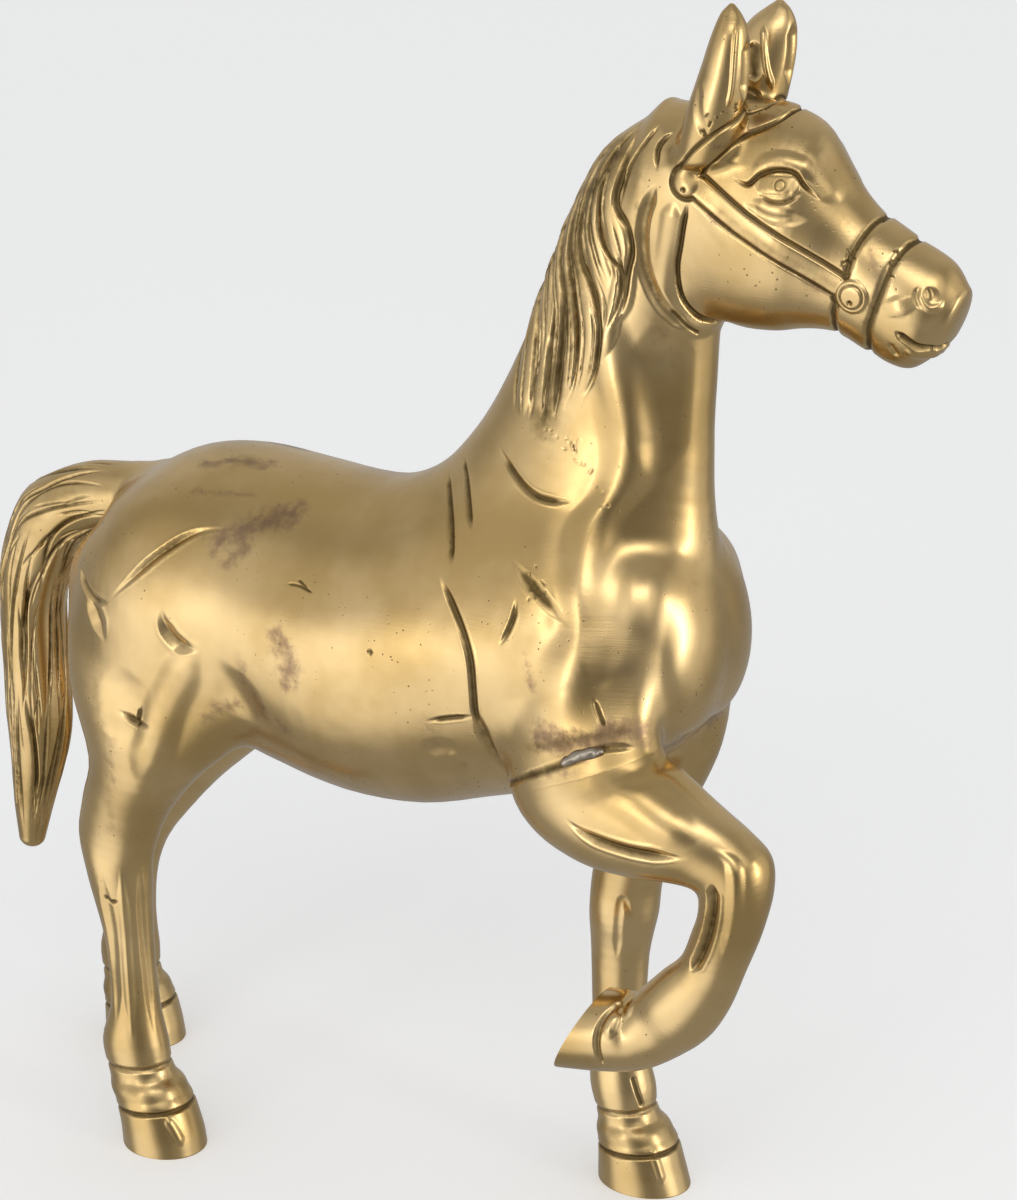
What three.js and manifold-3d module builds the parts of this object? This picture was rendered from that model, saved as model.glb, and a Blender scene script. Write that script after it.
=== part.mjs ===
// A cast brass horse, standing on three legs with its right foreleg raised.
//
// The statue is hollow through the body and neck. It is cast in pieces: two body halves, the head
// with its bridle and ears, four legs and a tail. Each leg and the tail has a tenon that sits in
// a socket of the body, and the joints are closed with braze. Lengths are in millimetres. X runs
// forward to the nose, Y to the horse's left and Z up. The soles stand on the plane z = 0.

import * as THREE from 'three';
import { mergeVertices } from 'three/addons/utils/BufferGeometryUtils.js';
import Module from 'manifold-3d';

const wasm = await Module();
wasm.setup();

// The castings and their joints
const CAST_WALL = 3.5;          // wall of the hollow body and neck
const JOINT_GAP = 0.3;          // film of braze between two castings
const LEG_TENON_RADIUS = 5;     // round tenon on top of each leg
const LEG_TENON_LENGTH = 14;    // how far a leg tenon reaches past its joint face
const TAIL_TENON_RADIUS = 4;    // round tenon at the root of the tail
const TAIL_TENON_LENGTH = 8;
const NECK_SPIGOT_LENGTH = 9;   // plug of the head casting inside the hollow neck
const BRAZE_RADIUS = 1.8;       // bead that closes the raised leg's joint

// Half widths of the body, measured across the horse
const RUMP_HALF = 34;
const BARREL_HALF = 36.5;
const SHOULDER_HALF = 33;
const CHEST_HALF = 25;
const NECK_HALF = 13.5;
const CHEEK_HALF = 13.5;
const MUZZLE_HALF = 9.5;

// Legs, each half measured across the horse
const FORE_STANCE = 23.5;       // hoof centre from the middle plane, forelegs
const HIND_STANCE = 24.5;       // the same for the hind legs
const RAISED_STANCE = 29;       // the raised leg swings a little outward
const KNEE_HALF = 8.5;
const HOCK_HALF = 7.5;
const CANNON_HALF = 6;
const FETLOCK_HALF = 7.6;
const HOOF_HALF = 10.5;

// Ears and bridle
const EAR_SPREAD = 11;          // ear centre from the middle plane
const EAR_TIP_HEIGHT = 321;     // top of the whole statue
const STRAP_WIDTH = 5;          // width of the bridle straps
const STRAP_RISE = 0.9;         // how far a strap stands out of the face
const ROSETTE_RADIUS = 3.4;
const MANE_RISE = 1.6;          // how far the carved mane stands out of the neck
const NOSE_REACH = 118;         // front of the upper lip

// The braze bead follows the raised leg's joint from the breast round the outside to the elbow
const BRAZE_START = THREE.MathUtils.degToRad(40);
const BRAZE_END = THREE.MathUtils.degToRad(-220);

// Fineness of the faceted surfaces
const BODY_SIDES = 24;
const LIMB_SIDES = 12;
const MUSCLE_SIDES = 16;
const PEG_SIDES = 12;
const BODY_FINENESS = 2;        // spans between two given sections of the trunk
const LIMB_FINENESS = 1;        // the same for legs, tail, neck and head
const BEAD_STEPS = 16;
const BEAD_SIDES = 6;
const REACH = 400;              // larger than the statue, for cutting blocks

const brass = (color, roughness) => new THREE.MeshStandardMaterial({ color, roughness, metalness: 1 });

// One cross section of a form: the two ends of its profile line, seen from the side as [x, z],
// its half width across the horse, and how far its centre lies from the middle plane.
const section = (upper, lower, half, y = 0) => ({ upper, lower, half, y });

// The trunk, from the buttocks to the breast: back line, belly line and half width
const TRUNK = [
  section([-118.5, 168], [-118.5, 150], 14),
  section([-113.5, 181], [-113.5, 138], 24),
  section([-105, 187.5], [-105, 128], 30),
  section([-92, 194], [-92, 121], RUMP_HALF - 1),
  section([-77, 196.5], [-77, 117.5], RUMP_HALF),
  section([-59, 195.5], [-59, 113], BARREL_HALF - 1.5),
  section([-39, 194.3], [-39, 109.7], BARREL_HALF),
  section([-19, 197], [-19, 110.7], BARREL_HALF - 0.5),
  section([0, 200], [0, 116.5], SHOULDER_HALF + 1),
  section([18, 200], [18, 122.5], SHOULDER_HALF),
  section([34, 195], [34, 129], SHOULDER_HALF - 3),
  section([48, 187], [48, 138], CHEST_HALF),
  section([57, 179], [57, 149], 17),
  section([60.5, 171], [60.5, 159], 8),
];

// The neck, from the withers to the poll: crest, throat and half width
const NECK = [
  section([-34, 188], [44, 146], CHEST_HALF),
  section([-20.5, 199], [58, 166], CHEST_HALF - 1),
  section([-10, 210], [57.5, 186], CHEST_HALF - 5),
  section([-1.7, 222.5], [55.5, 203], NECK_HALF + 3),
  section([5.6, 237.3], [55.3, 220], NECK_HALF + 1),
  section([11.8, 253.8], [55.8, 235], NECK_HALF),
  section([18, 270], [56.5, 248], NECK_HALF - 0.5),
  section([26.5, 285.5], [59, 258], NECK_HALF - 0.5),
  section([42, 297], [64, 266], NECK_HALF - 1),
];
const HEAD_JOINT = section([34, 291], [56.5, 246], 0);    // the head casting meets the neck here

// The head, from the poll to the lips: forehead and nose line, jaw line and half width
const POLL = [58, 300.5];
const HEAD = [
  section([44, 297], [42, 262], CHEEK_HALF - 2),
  section(POLL, [53, 251], CHEEK_HALF - 0.5),
  section([71, 300.3], [62.5, 247.5], CHEEK_HALF),
  section([81, 297], [71.5, 247.5], CHEEK_HALF),
  section([86.8, 289.5], [78.5, 249], CHEEK_HALF - 1.5),
  section([92, 282.3], [84, 249.5], MUZZLE_HALF + 1),
  section([97.5, 277.3], [89.5, 249], MUZZLE_HALF + 0.3),
  section([NOSE_REACH - 14.4, 273.8], [95, 246.5], MUZZLE_HALF),
  section([NOSE_REACH - 8.3, 271.2], [NOSE_REACH - 17.5, 243.8], MUZZLE_HALF),
  section([NOSE_REACH - 3.4, 268.2], [NOSE_REACH - 12, 243.3], MUZZLE_HALF - 0.7),
  section([NOSE_REACH, 263.5], [NOSE_REACH - 6.7, 247], MUZZLE_HALF - 3),
];

// The tail, from its root inside the rump to the tip: outer line, inner line and half width
const TAIL = [
  section([-106, 187.5], [-106, 169.5], 7.5),
  section([-117, 185.8], [-117, 167.5], 8),
  section([-129.5, 184], [-126, 165], 8.5),
  section([-141, 179.5], [-133.5, 160], 9),
  section([-151, 172.5], [-138, 151.5], 9.5),
  section([-158, 157], [-141.5, 140.5], 9.5),
  section([-159.8, 140], [-142, 128], 9.5),
  section([-160, 122], [-141.5, 115], 9.5),
  section([-160, 107], [-142, 102], 9),
  section([-159.6, 93], [-145, 90.5], 7.5),
  section([-159.8, 79], [-150, 77], 5),
  section([-158.8, 67.5], [-154.5, 66.5], 2.2),
];
const TAIL_JOINT = 1;                   // the joint face lies at this section

// The standing left foreleg: front line, back line, half width and place across the horse
const LEFT_FORE = [
  section([42, 182], [6, 176], 9, FORE_STANCE - 7),
  section([49, 164], [6, 160], 12, FORE_STANCE - 5),
  section([52, 147], [7, 146], 12.5, FORE_STANCE - 4),
  section([49.3, 131], [12, 130], 11.8, FORE_STANCE - 2.5),
  section([43, 116], [15, 113], 10.5, FORE_STANCE - 1.5),
  section([36, 101], [14.2, 98], 9, FORE_STANCE - 0.5),
  section([32, 88], [12.6, 85.5], KNEE_HALF, FORE_STANCE),
  section([30.8, 78], [12.2, 77], KNEE_HALF, FORE_STANCE),
  section([28.6, 66], [12.5, 66], CANNON_HALF + 0.6, FORE_STANCE),
  section([28, 50], [12.9, 50], CANNON_HALF, FORE_STANCE),
  section([28.6, 38], [12.8, 38], CANNON_HALF + 0.3, FORE_STANCE),
  section([31, 28], [12.8, 27], FETLOCK_HALF, FORE_STANCE),
  section([32, 20.5], [15.2, 18], FETLOCK_HALF, FORE_STANCE),
  section([37.4, 13.5], [15.6, 11], HOOF_HALF - 0.8, FORE_STANCE),
  section([40, 6], [15.8, 6], HOOF_HALF - 0.2, FORE_STANCE),
  section([41.8, 0], [15.8, 0], HOOF_HALF, FORE_STANCE),
];
const LEFT_FORE_JOINT = 4;

// The raised right foreleg: forearm forward from the elbow, cannon down, hoof folded back
const RIGHT_FORE = [
  section([42, 186], [6, 174], 9, -RAISED_STANCE + 12.5),
  section([51, 168], [9, 153], 12, -RAISED_STANCE + 8.5),
  section([56.5, 149.5], [17, 132], 11.8, -RAISED_STANCE + 2),
  section([63, 145.5], [25.5, 123], 12, -RAISED_STANCE),
  section([70, 141.3], [38, 118], 11.5, -RAISED_STANCE - 0.8),
  section([76.5, 137.3], [51, 117], 10.5, -RAISED_STANCE - 1),
  section([82, 133.3], [62.5, 117.8], 9.3, -RAISED_STANCE - 0.5),
  section([87, 128], [69, 117], KNEE_HALF + 0.3, -RAISED_STANCE),
  section([88, 120], [69.8, 112], KNEE_HALF, -RAISED_STANCE),
  section([86, 109.5], [68, 106], CANNON_HALF + 1, -RAISED_STANCE),
  section([82, 98], [65, 98.3], CANNON_HALF, -RAISED_STANCE),
  section([78, 87], [60.2, 93.3], CANNON_HALF + 0.7, -RAISED_STANCE),
  section([71.8, 77], [55.8, 88.5], FETLOCK_HALF, -RAISED_STANCE + 0.5),
  section([63.7, 69.7], [52.6, 84.8], FETLOCK_HALF - 0.5, -RAISED_STANCE + 1),
  section([56, 64.8], [50.6, 81.5], FETLOCK_HALF + 0.6, -RAISED_STANCE + 1.5),
  section([49.5, 62.4], [49.3, 82.5], HOOF_HALF - 0.9, -RAISED_STANCE + 2),
  section([41, 60.6], [46.6, 82.5], HOOF_HALF - 0.3, -RAISED_STANCE + 2),
  section([31.2, 59.2], [42.7, 81.8], HOOF_HALF, -RAISED_STANCE + 2),
];
const RIGHT_FORE_JOINT = 2;

// The right hind leg
const RIGHT_HIND = [
  section([-56, 184], [-110, 186], 8, -HIND_STANCE + 11),
  section([-51, 163], [-119, 169], 13, -HIND_STANCE + 8),
  section([-54, 143], [-121.5, 153], 14, -HIND_STANCE + 5),
  section([-68, 123], [-119.6, 134], 13, -HIND_STANCE + 1.5),
  section([-81, 110.5], [-113, 113.5], 11, -HIND_STANCE),
  section([-91, 97.5], [-116, 101], 9, -HIND_STANCE),
  section([-95.8, 86], [-118.3, 90], HOCK_HALF, -HIND_STANCE),
  section([-97, 76], [-116, 78], HOCK_HALF, -HIND_STANCE),
  section([-97.3, 62], [-112, 63], CANNON_HALF + 0.3, -HIND_STANCE),
  section([-96.8, 50], [-110, 50], CANNON_HALF, -HIND_STANCE),
  section([-96, 40], [-110.2, 40], CANNON_HALF + 0.3, -HIND_STANCE),
  section([-94, 30], [-113.3, 29], FETLOCK_HALF, -HIND_STANCE),
  section([-92.5, 22], [-111.5, 19.5], FETLOCK_HALF, -HIND_STANCE),
  section([-87.5, 15], [-109, 12], HOOF_HALF - 0.8, -HIND_STANCE),
  section([-84.2, 6], [-107.6, 6], HOOF_HALF - 0.2, -HIND_STANCE),
  section([-83, 0], [-107, 0], HOOF_HALF, -HIND_STANCE),
];
const RIGHT_HIND_JOINT = 4;

// The left hind leg, set further back
const LEFT_HIND = [
  section([-56, 184], [-110, 186], 8, HIND_STANCE - 11),
  section([-53, 161], [-119, 169], 13, HIND_STANCE - 8),
  section([-61, 138], [-121.5, 152], 14, HIND_STANCE - 5),
  section([-76, 118], [-122, 135], 13, HIND_STANCE - 1.5),
  section([-92.5, 101.5], [-124, 118], 11, HIND_STANCE),
  section([-107, 88.5], [-132.5, 104.5], 9.5, HIND_STANCE),
  section([-118, 76.5], [-144.5, 90.5], HOCK_HALF + 0.2, HIND_STANCE),
  section([-126.7, 65.5], [-147, 75.5], HOCK_HALF, HIND_STANCE),
  section([-131.5, 54], [-147, 59], CANNON_HALF + 0.5, HIND_STANCE),
  section([-133, 41], [-147, 42.5], CANNON_HALF, HIND_STANCE),
  section([-132.7, 28.5], [-150.5, 28], FETLOCK_HALF, HIND_STANCE),
  section([-132.3, 20.5], [-149.8, 18], FETLOCK_HALF, HIND_STANCE),
  section([-128.5, 14], [-149.3, 11], HOOF_HALF - 0.8, HIND_STANCE),
  section([-126, 6], [-149.4, 6], HOOF_HALF - 0.2, HIND_STANCE),
  section([-125, 0], [-149.5, 0], HOOF_HALF, HIND_STANCE),
];
const LEFT_HIND_JOINT = 4;

// An ear, from its root to its tip: front line, back line and half width
const EAR = [
  section([65, 289], [48, 287], 6.5, EAR_SPREAD - 2),
  section([67.3, 300], [50.5, 299], 6.5, EAR_SPREAD - 0.5),
  section([68.8, 309], [53.6, 309], 5.5, EAR_SPREAD),
  section([68.8, 315.5], [57, 315.5], 4, EAR_SPREAD + 0.3),
  section([67.4, EAR_TIP_HEIGHT - 1.8], [61.2, EAR_TIP_HEIGHT - 1.8], 2, EAR_SPREAD + 0.3),
  section([65.6, EAR_TIP_HEIGHT], [63.8, EAR_TIP_HEIGHT], 0.8, EAR_SPREAD + 0.3),
];

// The mane lies on the right of the neck. Its outline is seen from the side, with the lock ends.
const MANE = [
  [52, 297], [42, 288], [39, 277], [40, 263], [42, 252], [35, 247], [36, 237], [29, 232],
  [22, 220], [17, 227], [12, 215], [7, 222], [-1, 208], [-4, 214], [-15, 202], [-26, 206],
  [-8, 245], [12, 282], [34, 300],
];

// The bridle, seen from the side: the straps run round the head between these points.
const UPPER_ROSETTE = [POLL[0] - 2.5, POLL[1] - 17];
const LOWER_ROSETTE = [96.5, 263];
const UPPER_ROSETTE_REACH = CHEEK_HALF + 0.4;     // outer face from the middle plane
const LOWER_ROSETTE_REACH = MUZZLE_HALF + 2.2;
const STRAPS = [
  [UPPER_ROSETTE, LOWER_ROSETTE],       // cheek strap
  [UPPER_ROSETTE, [82, 299]],           // browband
  [UPPER_ROSETTE, [49, 300]],           // crown strap
  [UPPER_ROSETTE, [52, 262]],           // throat strap, upper stretch
  [[52, 262], [59, 244]],               // throat strap, lower stretch
  [LOWER_ROSETTE, [101.5, 280]],        // noseband over the nose
  [LOWER_ROSETTE, [91.5, 242]],         // noseband under the jaw
];

// Muscles that swell out of the trunk on both sides: centre, half sizes and tilt in degrees
const MUSCLES = [
  { at: [-88, RUMP_HALF - 18, 156], size: [25, 17, 29], tilt: 12 },         // haunch
  { at: [27, SHOULDER_HALF - 19, 166], size: [21, 18, 33], tilt: -18 },     // shoulder
  { at: [43, CHEST_HALF - 16, 167], size: [17, 15, 24], tilt: 0 },          // breast
  { at: [20, SHOULDER_HALF - 23, 183.5], size: [33.5, 17, 17], tilt: 7 },   // root of the neck
  { at: [42, CHEST_HALF - 6, 167], size: [12, 9, 17], tilt: -20 },          // point of the shoulder
  { at: [-96, RUMP_HALF - 12.5, 157.5], size: [18, 12.3, 21.3], tilt: 20 }, // buttock
  { at: [-83.5, RUMP_HALF - 9, 154], size: [26, 10, 25], tilt: -4 },        // thigh
];

// A closed mesh becomes a solid that can be joined and cut. Its faces are turned outward first.
function solidOf(geometry) {
  const bare = geometry.clone();
  for (const name of Object.keys(bare.attributes)) {
    if (name !== 'position') bare.deleteAttribute(name);
  }
  const merged = mergeVertices(bare, 1e-4);
  const corner = (i) => new THREE.Vector3().fromBufferAttribute(merged.attributes.position, i);
  const faces = Array.from(merged.index.array);
  let volume = 0;
  for (let i = 0; i < faces.length; i += 3) {
    volume += corner(faces[i]).dot(corner(faces[i + 1]).cross(corner(faces[i + 2])));
  }
  const mesh = new wasm.Mesh({
    numProp: 3,
    vertProperties: new Float32Array(merged.attributes.position.array),
    triVerts: new Uint32Array(volume > 0 ? faces : faces.reverse()),
  });
  return new wasm.Manifold(mesh);
}

// A solid goes back to a mesh geometry.
function geometryOf(solid) {
  const mesh = solid.getMesh();
  const points = new Float32Array(mesh.numVert * 3);
  for (let i = 0; i < mesh.numVert; i += 1) {
    for (let k = 0; k < 3; k += 1) points[3 * i + k] = mesh.vertProperties[mesh.numProp * i + k];
  }
  const geometry = new THREE.BufferGeometry();
  geometry.setAttribute('position', new THREE.BufferAttribute(points, 3));
  geometry.setIndex(new THREE.BufferAttribute(new Uint32Array(mesh.triVerts), 1));
  geometry.computeVertexNormals();
  return geometry;
}

const union = (solids) => solids.reduce((sum, solid) => sum.add(solid));

// Sections between the given ones, on a smooth curve through them
function smooth(sections, steps) {
  const curve = (points) => new THREE.CatmullRomCurve3(points, false, 'catmullrom');
  const upper = curve(sections.map((s) => new THREE.Vector3(s.upper[0], s.y, s.upper[1])));
  const lower = curve(sections.map((s) => new THREE.Vector3(s.lower[0], s.half, s.lower[1])));
  const count = (sections.length - 1) * steps;
  return Array.from({ length: count + 1 }, (_, i) => {
    const a = upper.getPoint(i / count);
    const b = lower.getPoint(i / count);
    return section([a.x, a.z], [b.x, b.z], b.y, a.y);
  });
}

const middleOf = (s) => new THREE.Vector3(
  (s.upper[0] + s.lower[0]) / 2, s.y, (s.upper[1] + s.lower[1]) / 2);

// Half of a section's profile line, from its middle to its upper end
const reachOf = (s) => new THREE.Vector3(
  (s.upper[0] - s.lower[0]) / 2, 0, (s.upper[1] - s.lower[1]) / 2);

// A section made larger all round, or smaller where the growth is negative
function grown(s, growth) {
  const middle = middleOf(s);
  const reach = reachOf(s);
  reach.setLength(reach.length() + growth);
  const upper = middle.clone().add(reach);
  const lower = middle.clone().sub(reach);
  return section([upper.x, upper.z], [lower.x, lower.z], s.half + growth, s.y);
}

// A point on the oval outline of a section, at an angle from its upper end
function ovalPoint(s, angle) {
  return middleOf(s)
    .addScaledVector(reachOf(s), Math.cos(angle))
    .add(new THREE.Vector3(0, s.half * Math.sin(angle), 0));
}

// A closed skin over rows of points, each row the same length, with flat ends
function skin(rows) {
  const sides = rows[0].length;
  const faces = [];
  for (let i = 0; i + 1 < rows.length; i += 1) {
    for (let k = 0; k < sides; k += 1) {
      const a = i * sides + k;
      const b = i * sides + (k + 1) % sides;
      faces.push(a, b, b + sides, a, b + sides, a + sides);
    }
  }
  const last = (rows.length - 1) * sides;
  for (let k = 1; k + 1 < sides; k += 1) {
    faces.push(0, k + 1, k, last, last + k, last + k + 1);
  }
  const geometry = new THREE.BufferGeometry().setFromPoints(rows.flat());
  geometry.setIndex(faces);
  return solidOf(geometry);
}

// A solid through the oval outlines of a row of sections
const loft = (sections, sides) => skin(sections.map(
  (s) => Array.from({ length: sides }, (_, k) => ovalPoint(s, 2 * Math.PI * k / sides))));

// An egg-shaped muscle on one side of the horse
function muscle({ at, size, tilt }, side) {
  const geometry = new THREE.SphereGeometry(1, MUSCLE_SIDES, MUSCLE_SIDES / 2);
  geometry.scale(...size);
  geometry.rotateY(THREE.MathUtils.degToRad(tilt));
  geometry.translate(at[0], side * at[1], at[2]);
  return solidOf(geometry);
}

// Everything on one side of a flat face, which lies at an offset from a point along the normal
function sideOf(point, normal, offset) {
  const geometry = new THREE.BoxGeometry(2 * REACH, 2 * REACH, REACH);
  geometry.translate(0, 0, REACH / 2 + offset);
  geometry.applyQuaternion(new THREE.Quaternion().setFromUnitVectors(
    new THREE.Vector3(0, 0, 1), normal.clone().normalize()));
  geometry.translate(point.x, point.y, point.z);
  return solidOf(geometry);
}

// A round peg from a point along a direction
function peg(from, way, radius, length) {
  const geometry = new THREE.CylinderGeometry(radius, radius, length, PEG_SIDES);
  geometry.translate(0, length / 2, 0);
  geometry.applyQuaternion(new THREE.Quaternion().setFromUnitVectors(
    new THREE.Vector3(0, 1, 0), way.clone().normalize()));
  geometry.translate(from.x, from.y, from.z);
  return solidOf(geometry);
}

// A flat outline of the side view, drawn through the horse from one distance across to another
function slab(outline, nearY, farY) {
  const shape = new THREE.Shape(outline.map(([x, z]) => new THREE.Vector2(x, z)));
  const geometry = new THREE.ExtrudeGeometry(shape, { depth: farY - nearY, bevelEnabled: false });
  geometry.rotateX(Math.PI / 2);
  geometry.translate(0, farY, 0);
  return solidOf(geometry);
}

// A band of the strap's width between two points of the side view, through the whole head
function band([from, to]) {
  const along = new THREE.Vector2(to[0] - from[0], to[1] - from[1]).setLength(STRAP_WIDTH / 2);
  const corner = (p, turn) => [p[0] - turn * along.y, p[1] + turn * along.x];
  return slab([corner(from, 1), corner(from, -1), corner(to, -1), corner(to, 1)], -REACH, REACH);
}

// A bead of braze along the outline of a section, from one angle to another
function bead(s, radius) {
  const rows = [];
  for (let i = 0; i <= BEAD_STEPS; i += 1) {
    const angle = THREE.MathUtils.lerp(BRAZE_START, BRAZE_END, i / BEAD_STEPS);
    const centre = ovalPoint(s, angle);
    const outward = ovalPoint(grown(s, 1), angle).sub(centre).normalize();
    const up = new THREE.Vector3(-reachOf(s).z, 0, reachOf(s).x).normalize();
    rows.push(Array.from({ length: BEAD_SIDES }, (_, k) => centre.clone()
      .addScaledVector(outward, radius * Math.cos(2 * Math.PI * k / BEAD_SIDES))
      .addScaledVector(up, radius * Math.sin(2 * Math.PI * k / BEAD_SIDES))));
  }
  return skin(rows);
}

// A limb is parted from the body on the flat face of one of its sections. The body keeps the
// root of the limb. The limb's casting has a tenon, the body has room for both, and its wall
// stays whole round that room, so each socket is blind.
function partedLimb(sections, joint, tenonRadius, tenonLength) {
  const rings = smooth(sections, LIMB_FINENESS);
  const face = middleOf(sections[joint]);
  const inward = middleOf(sections[joint - 1]).sub(face);
  const normal = new THREE.Vector3(-reachOf(sections[joint]).z, 0, reachOf(sections[joint]).x);
  if (normal.dot(inward) < 0) normal.negate();
  const outward = normal.clone().negate();
  const start = face.clone().addScaledVector(inward.clone().normalize(), -tenonRadius);
  const length = tenonLength + tenonRadius;
  const whole = loft(rings, LIMB_SIDES);
  const around = (space) => loft(rings.map((s) => grown(s, space)), LIMB_SIDES)
    .intersect(sideOf(face, outward, JOINT_GAP / 2 - space))
    .add(peg(start, inward, tenonRadius + space, length + space));
  return {
    root: whole.intersect(sideOf(face, normal, JOINT_GAP / 2)),
    casting: whole.intersect(sideOf(face, outward, JOINT_GAP / 2))
      .add(peg(start, inward, tenonRadius, length)),
    room: around(JOINT_GAP),
    boss: around(JOINT_GAP + CAST_WALL),
  };
}

const leg = (sections, joint) => partedLimb(sections, joint, LEG_TENON_RADIUS, LEG_TENON_LENGTH);
const leftFore = leg(LEFT_FORE, LEFT_FORE_JOINT);
const rightFore = leg(RIGHT_FORE, RIGHT_FORE_JOINT);
const leftHind = leg(LEFT_HIND, LEFT_HIND_JOINT);
const rightHind = leg(RIGHT_HIND, RIGHT_HIND_JOINT);
const tail = partedLimb(TAIL, TAIL_JOINT, TAIL_TENON_RADIUS, TAIL_TENON_LENGTH);
const limbs = [leftFore, rightFore, leftHind, rightHind, tail];

// Neck and head in one, with the mane, the ears and the bridle standing out of them
const neckRings = smooth(NECK, LIMB_FINENESS);
const headRings = smooth(HEAD, LIMB_FINENESS);
const rise = (rings, height) => loft(rings.map((s) => grown(s, height)), BODY_SIDES);
const mane = rise(neckRings, MANE_RISE).intersect(slab(MANE, -REACH, 0));
const straps = rise(headRings, STRAP_RISE).add(rise(neckRings, STRAP_RISE))
  .intersect(union(STRAPS.map(band)));
const rosette = (at, faceReach) => peg(
  new THREE.Vector3(at[0], -faceReach, at[1]), new THREE.Vector3(0, 1, 0), ROSETTE_RADIUS, 2 * faceReach);
const ears = [1, -1].map((side) => loft(
  EAR.map((s) => section(s.upper, s.lower, s.half, side * s.y)), LIMB_SIDES));
const upperHorse = union([
  loft(neckRings, BODY_SIDES),
  loft(headRings, BODY_SIDES),
  mane, straps, ...ears,
  rosette(UPPER_ROSETTE, UPPER_ROSETTE_REACH),
  rosette(LOWER_ROSETTE, LOWER_ROSETTE_REACH),
]);

// The head casting ends in a spigot that plugs the hollow neck
const headJoint = middleOf(HEAD_JOINT);
const headward = new THREE.Vector3(-reachOf(HEAD_JOINT).z, 0, reachOf(HEAD_JOINT).x).negate();
if (headward.x < 0) headward.negate();
const bodyward = headward.clone().negate();
const spigot = rise(neckRings, -CAST_WALL - JOINT_GAP)
  .intersect(sideOf(headJoint, headward, -NECK_SPIGOT_LENGTH))
  .intersect(sideOf(headJoint, bodyward, -JOINT_GAP));
const head = upperHorse.intersect(sideOf(headJoint, headward, JOINT_GAP / 2)).add(spigot);

// The hollow of the body runs on through the neck to the head joint, and leaves the sockets whole.
// Rump and breast are solid metal: the hollow starts and ends some sections in from both ends.
const HOLLOW_FIRST = 2;
const HOLLOW_LAST = 10;
const hollow = rise(TRUNK.slice(HOLLOW_FIRST, HOLLOW_LAST + 1), -CAST_WALL)
  .add(rise(neckRings.slice(HOLLOW_FIRST), -CAST_WALL))
  .subtract(union(limbs.map((limb) => limb.boss)));
const solidBody = union([
  loft(smooth(TRUNK, BODY_FINENESS), BODY_SIDES),
  upperHorse.intersect(sideOf(headJoint, bodyward, JOINT_GAP / 2)),
  ...MUSCLES.flatMap((m) => [muscle(m, 1), muscle(m, -1)]),
  ...limbs.map((limb) => limb.root),
]);
const creaseRoom = bead(RIGHT_FORE[RIGHT_FORE_JOINT], BRAZE_RADIUS + JOINT_GAP);
const body = solidBody.subtract(hollow)
  .subtract(union(limbs.map((limb) => limb.room)))
  .subtract(creaseRoom);

const rightward = new THREE.Vector3(0, -1, 0);
const leftward = new THREE.Vector3(0, 1, 0);
const middle = new THREE.Vector3(0, 0, 0);

const pieces = [
  ['body_right_half', body.intersect(sideOf(middle, rightward, JOINT_GAP / 2)), brass('#c29a4c', 0.28)],
  ['body_left_half', body.intersect(sideOf(middle, leftward, JOINT_GAP / 2)), brass('#c29a4c', 0.28)],
  ['head', head, brass('#b98f45', 0.32)],
  ['right_foreleg', rightFore.casting.subtract(creaseRoom), brass('#b98f45', 0.3)],
  ['left_foreleg', leftFore.casting, brass('#b08a42', 0.32)],
  ['right_hind_leg', rightHind.casting, brass('#b08a42', 0.32)],
  ['left_hind_leg', leftHind.casting, brass('#b08a42', 0.32)],
  ['tail', tail.casting, brass('#a58243', 0.4)],
  ['right_foreleg_braze', bead(RIGHT_FORE[RIGHT_FORE_JOINT], BRAZE_RADIUS), brass('#8f8878', 0.5)],
];

const horse = new THREE.Group();
for (const [name, solid, material] of pieces) {
  const mesh = new THREE.Mesh(geometryOf(solid), material);
  mesh.name = name;
  horse.add(mesh);
}

// The frame's origin is on the floor, under the middle of the statue's outline.
const outline = new THREE.Box3().setFromObject(horse);
horse.position.x = -(outline.min.x + outline.max.x) / 2;
horse.position.y = -(outline.min.y + outline.max.y) / 2;
horse.position.z = -outline.min.z;

export default horse;
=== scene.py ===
"""A cast brass horse with its right foreleg raised, modelled and dressed round its packed castings.

The horse is sculpted in the sculptor's own frame: millimetres, X forward to the nose, Y to the
horse's left with the middle plane at zero, Z up from the soles. Each form is a distance field.
The fields are blended into one skin, the skin is carved, and the castings are parted from it on
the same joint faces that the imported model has.
"""
import logging
import math
from concurrent.futures import ThreadPoolExecutor
from dataclasses import dataclass, field
from enum import Enum
from typing import Callable, Iterable, Sequence

import bmesh
import bpy
import numpy as np
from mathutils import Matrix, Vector


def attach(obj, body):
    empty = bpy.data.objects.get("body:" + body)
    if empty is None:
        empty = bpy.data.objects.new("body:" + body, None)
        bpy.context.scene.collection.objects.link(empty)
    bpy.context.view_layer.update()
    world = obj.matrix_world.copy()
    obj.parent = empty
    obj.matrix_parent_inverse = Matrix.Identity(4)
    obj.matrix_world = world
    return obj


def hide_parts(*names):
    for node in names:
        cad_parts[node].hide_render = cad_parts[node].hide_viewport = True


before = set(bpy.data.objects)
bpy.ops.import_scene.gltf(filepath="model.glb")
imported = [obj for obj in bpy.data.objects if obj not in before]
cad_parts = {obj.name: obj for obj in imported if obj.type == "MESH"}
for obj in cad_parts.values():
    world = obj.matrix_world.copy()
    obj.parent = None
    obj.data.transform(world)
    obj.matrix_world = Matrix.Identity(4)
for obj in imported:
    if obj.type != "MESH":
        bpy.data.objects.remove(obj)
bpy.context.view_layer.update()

LOG = logging.getLogger("brass_horse")
MM = 0.001

Array = np.ndarray
Field = Callable[[Array], Array]

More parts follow.
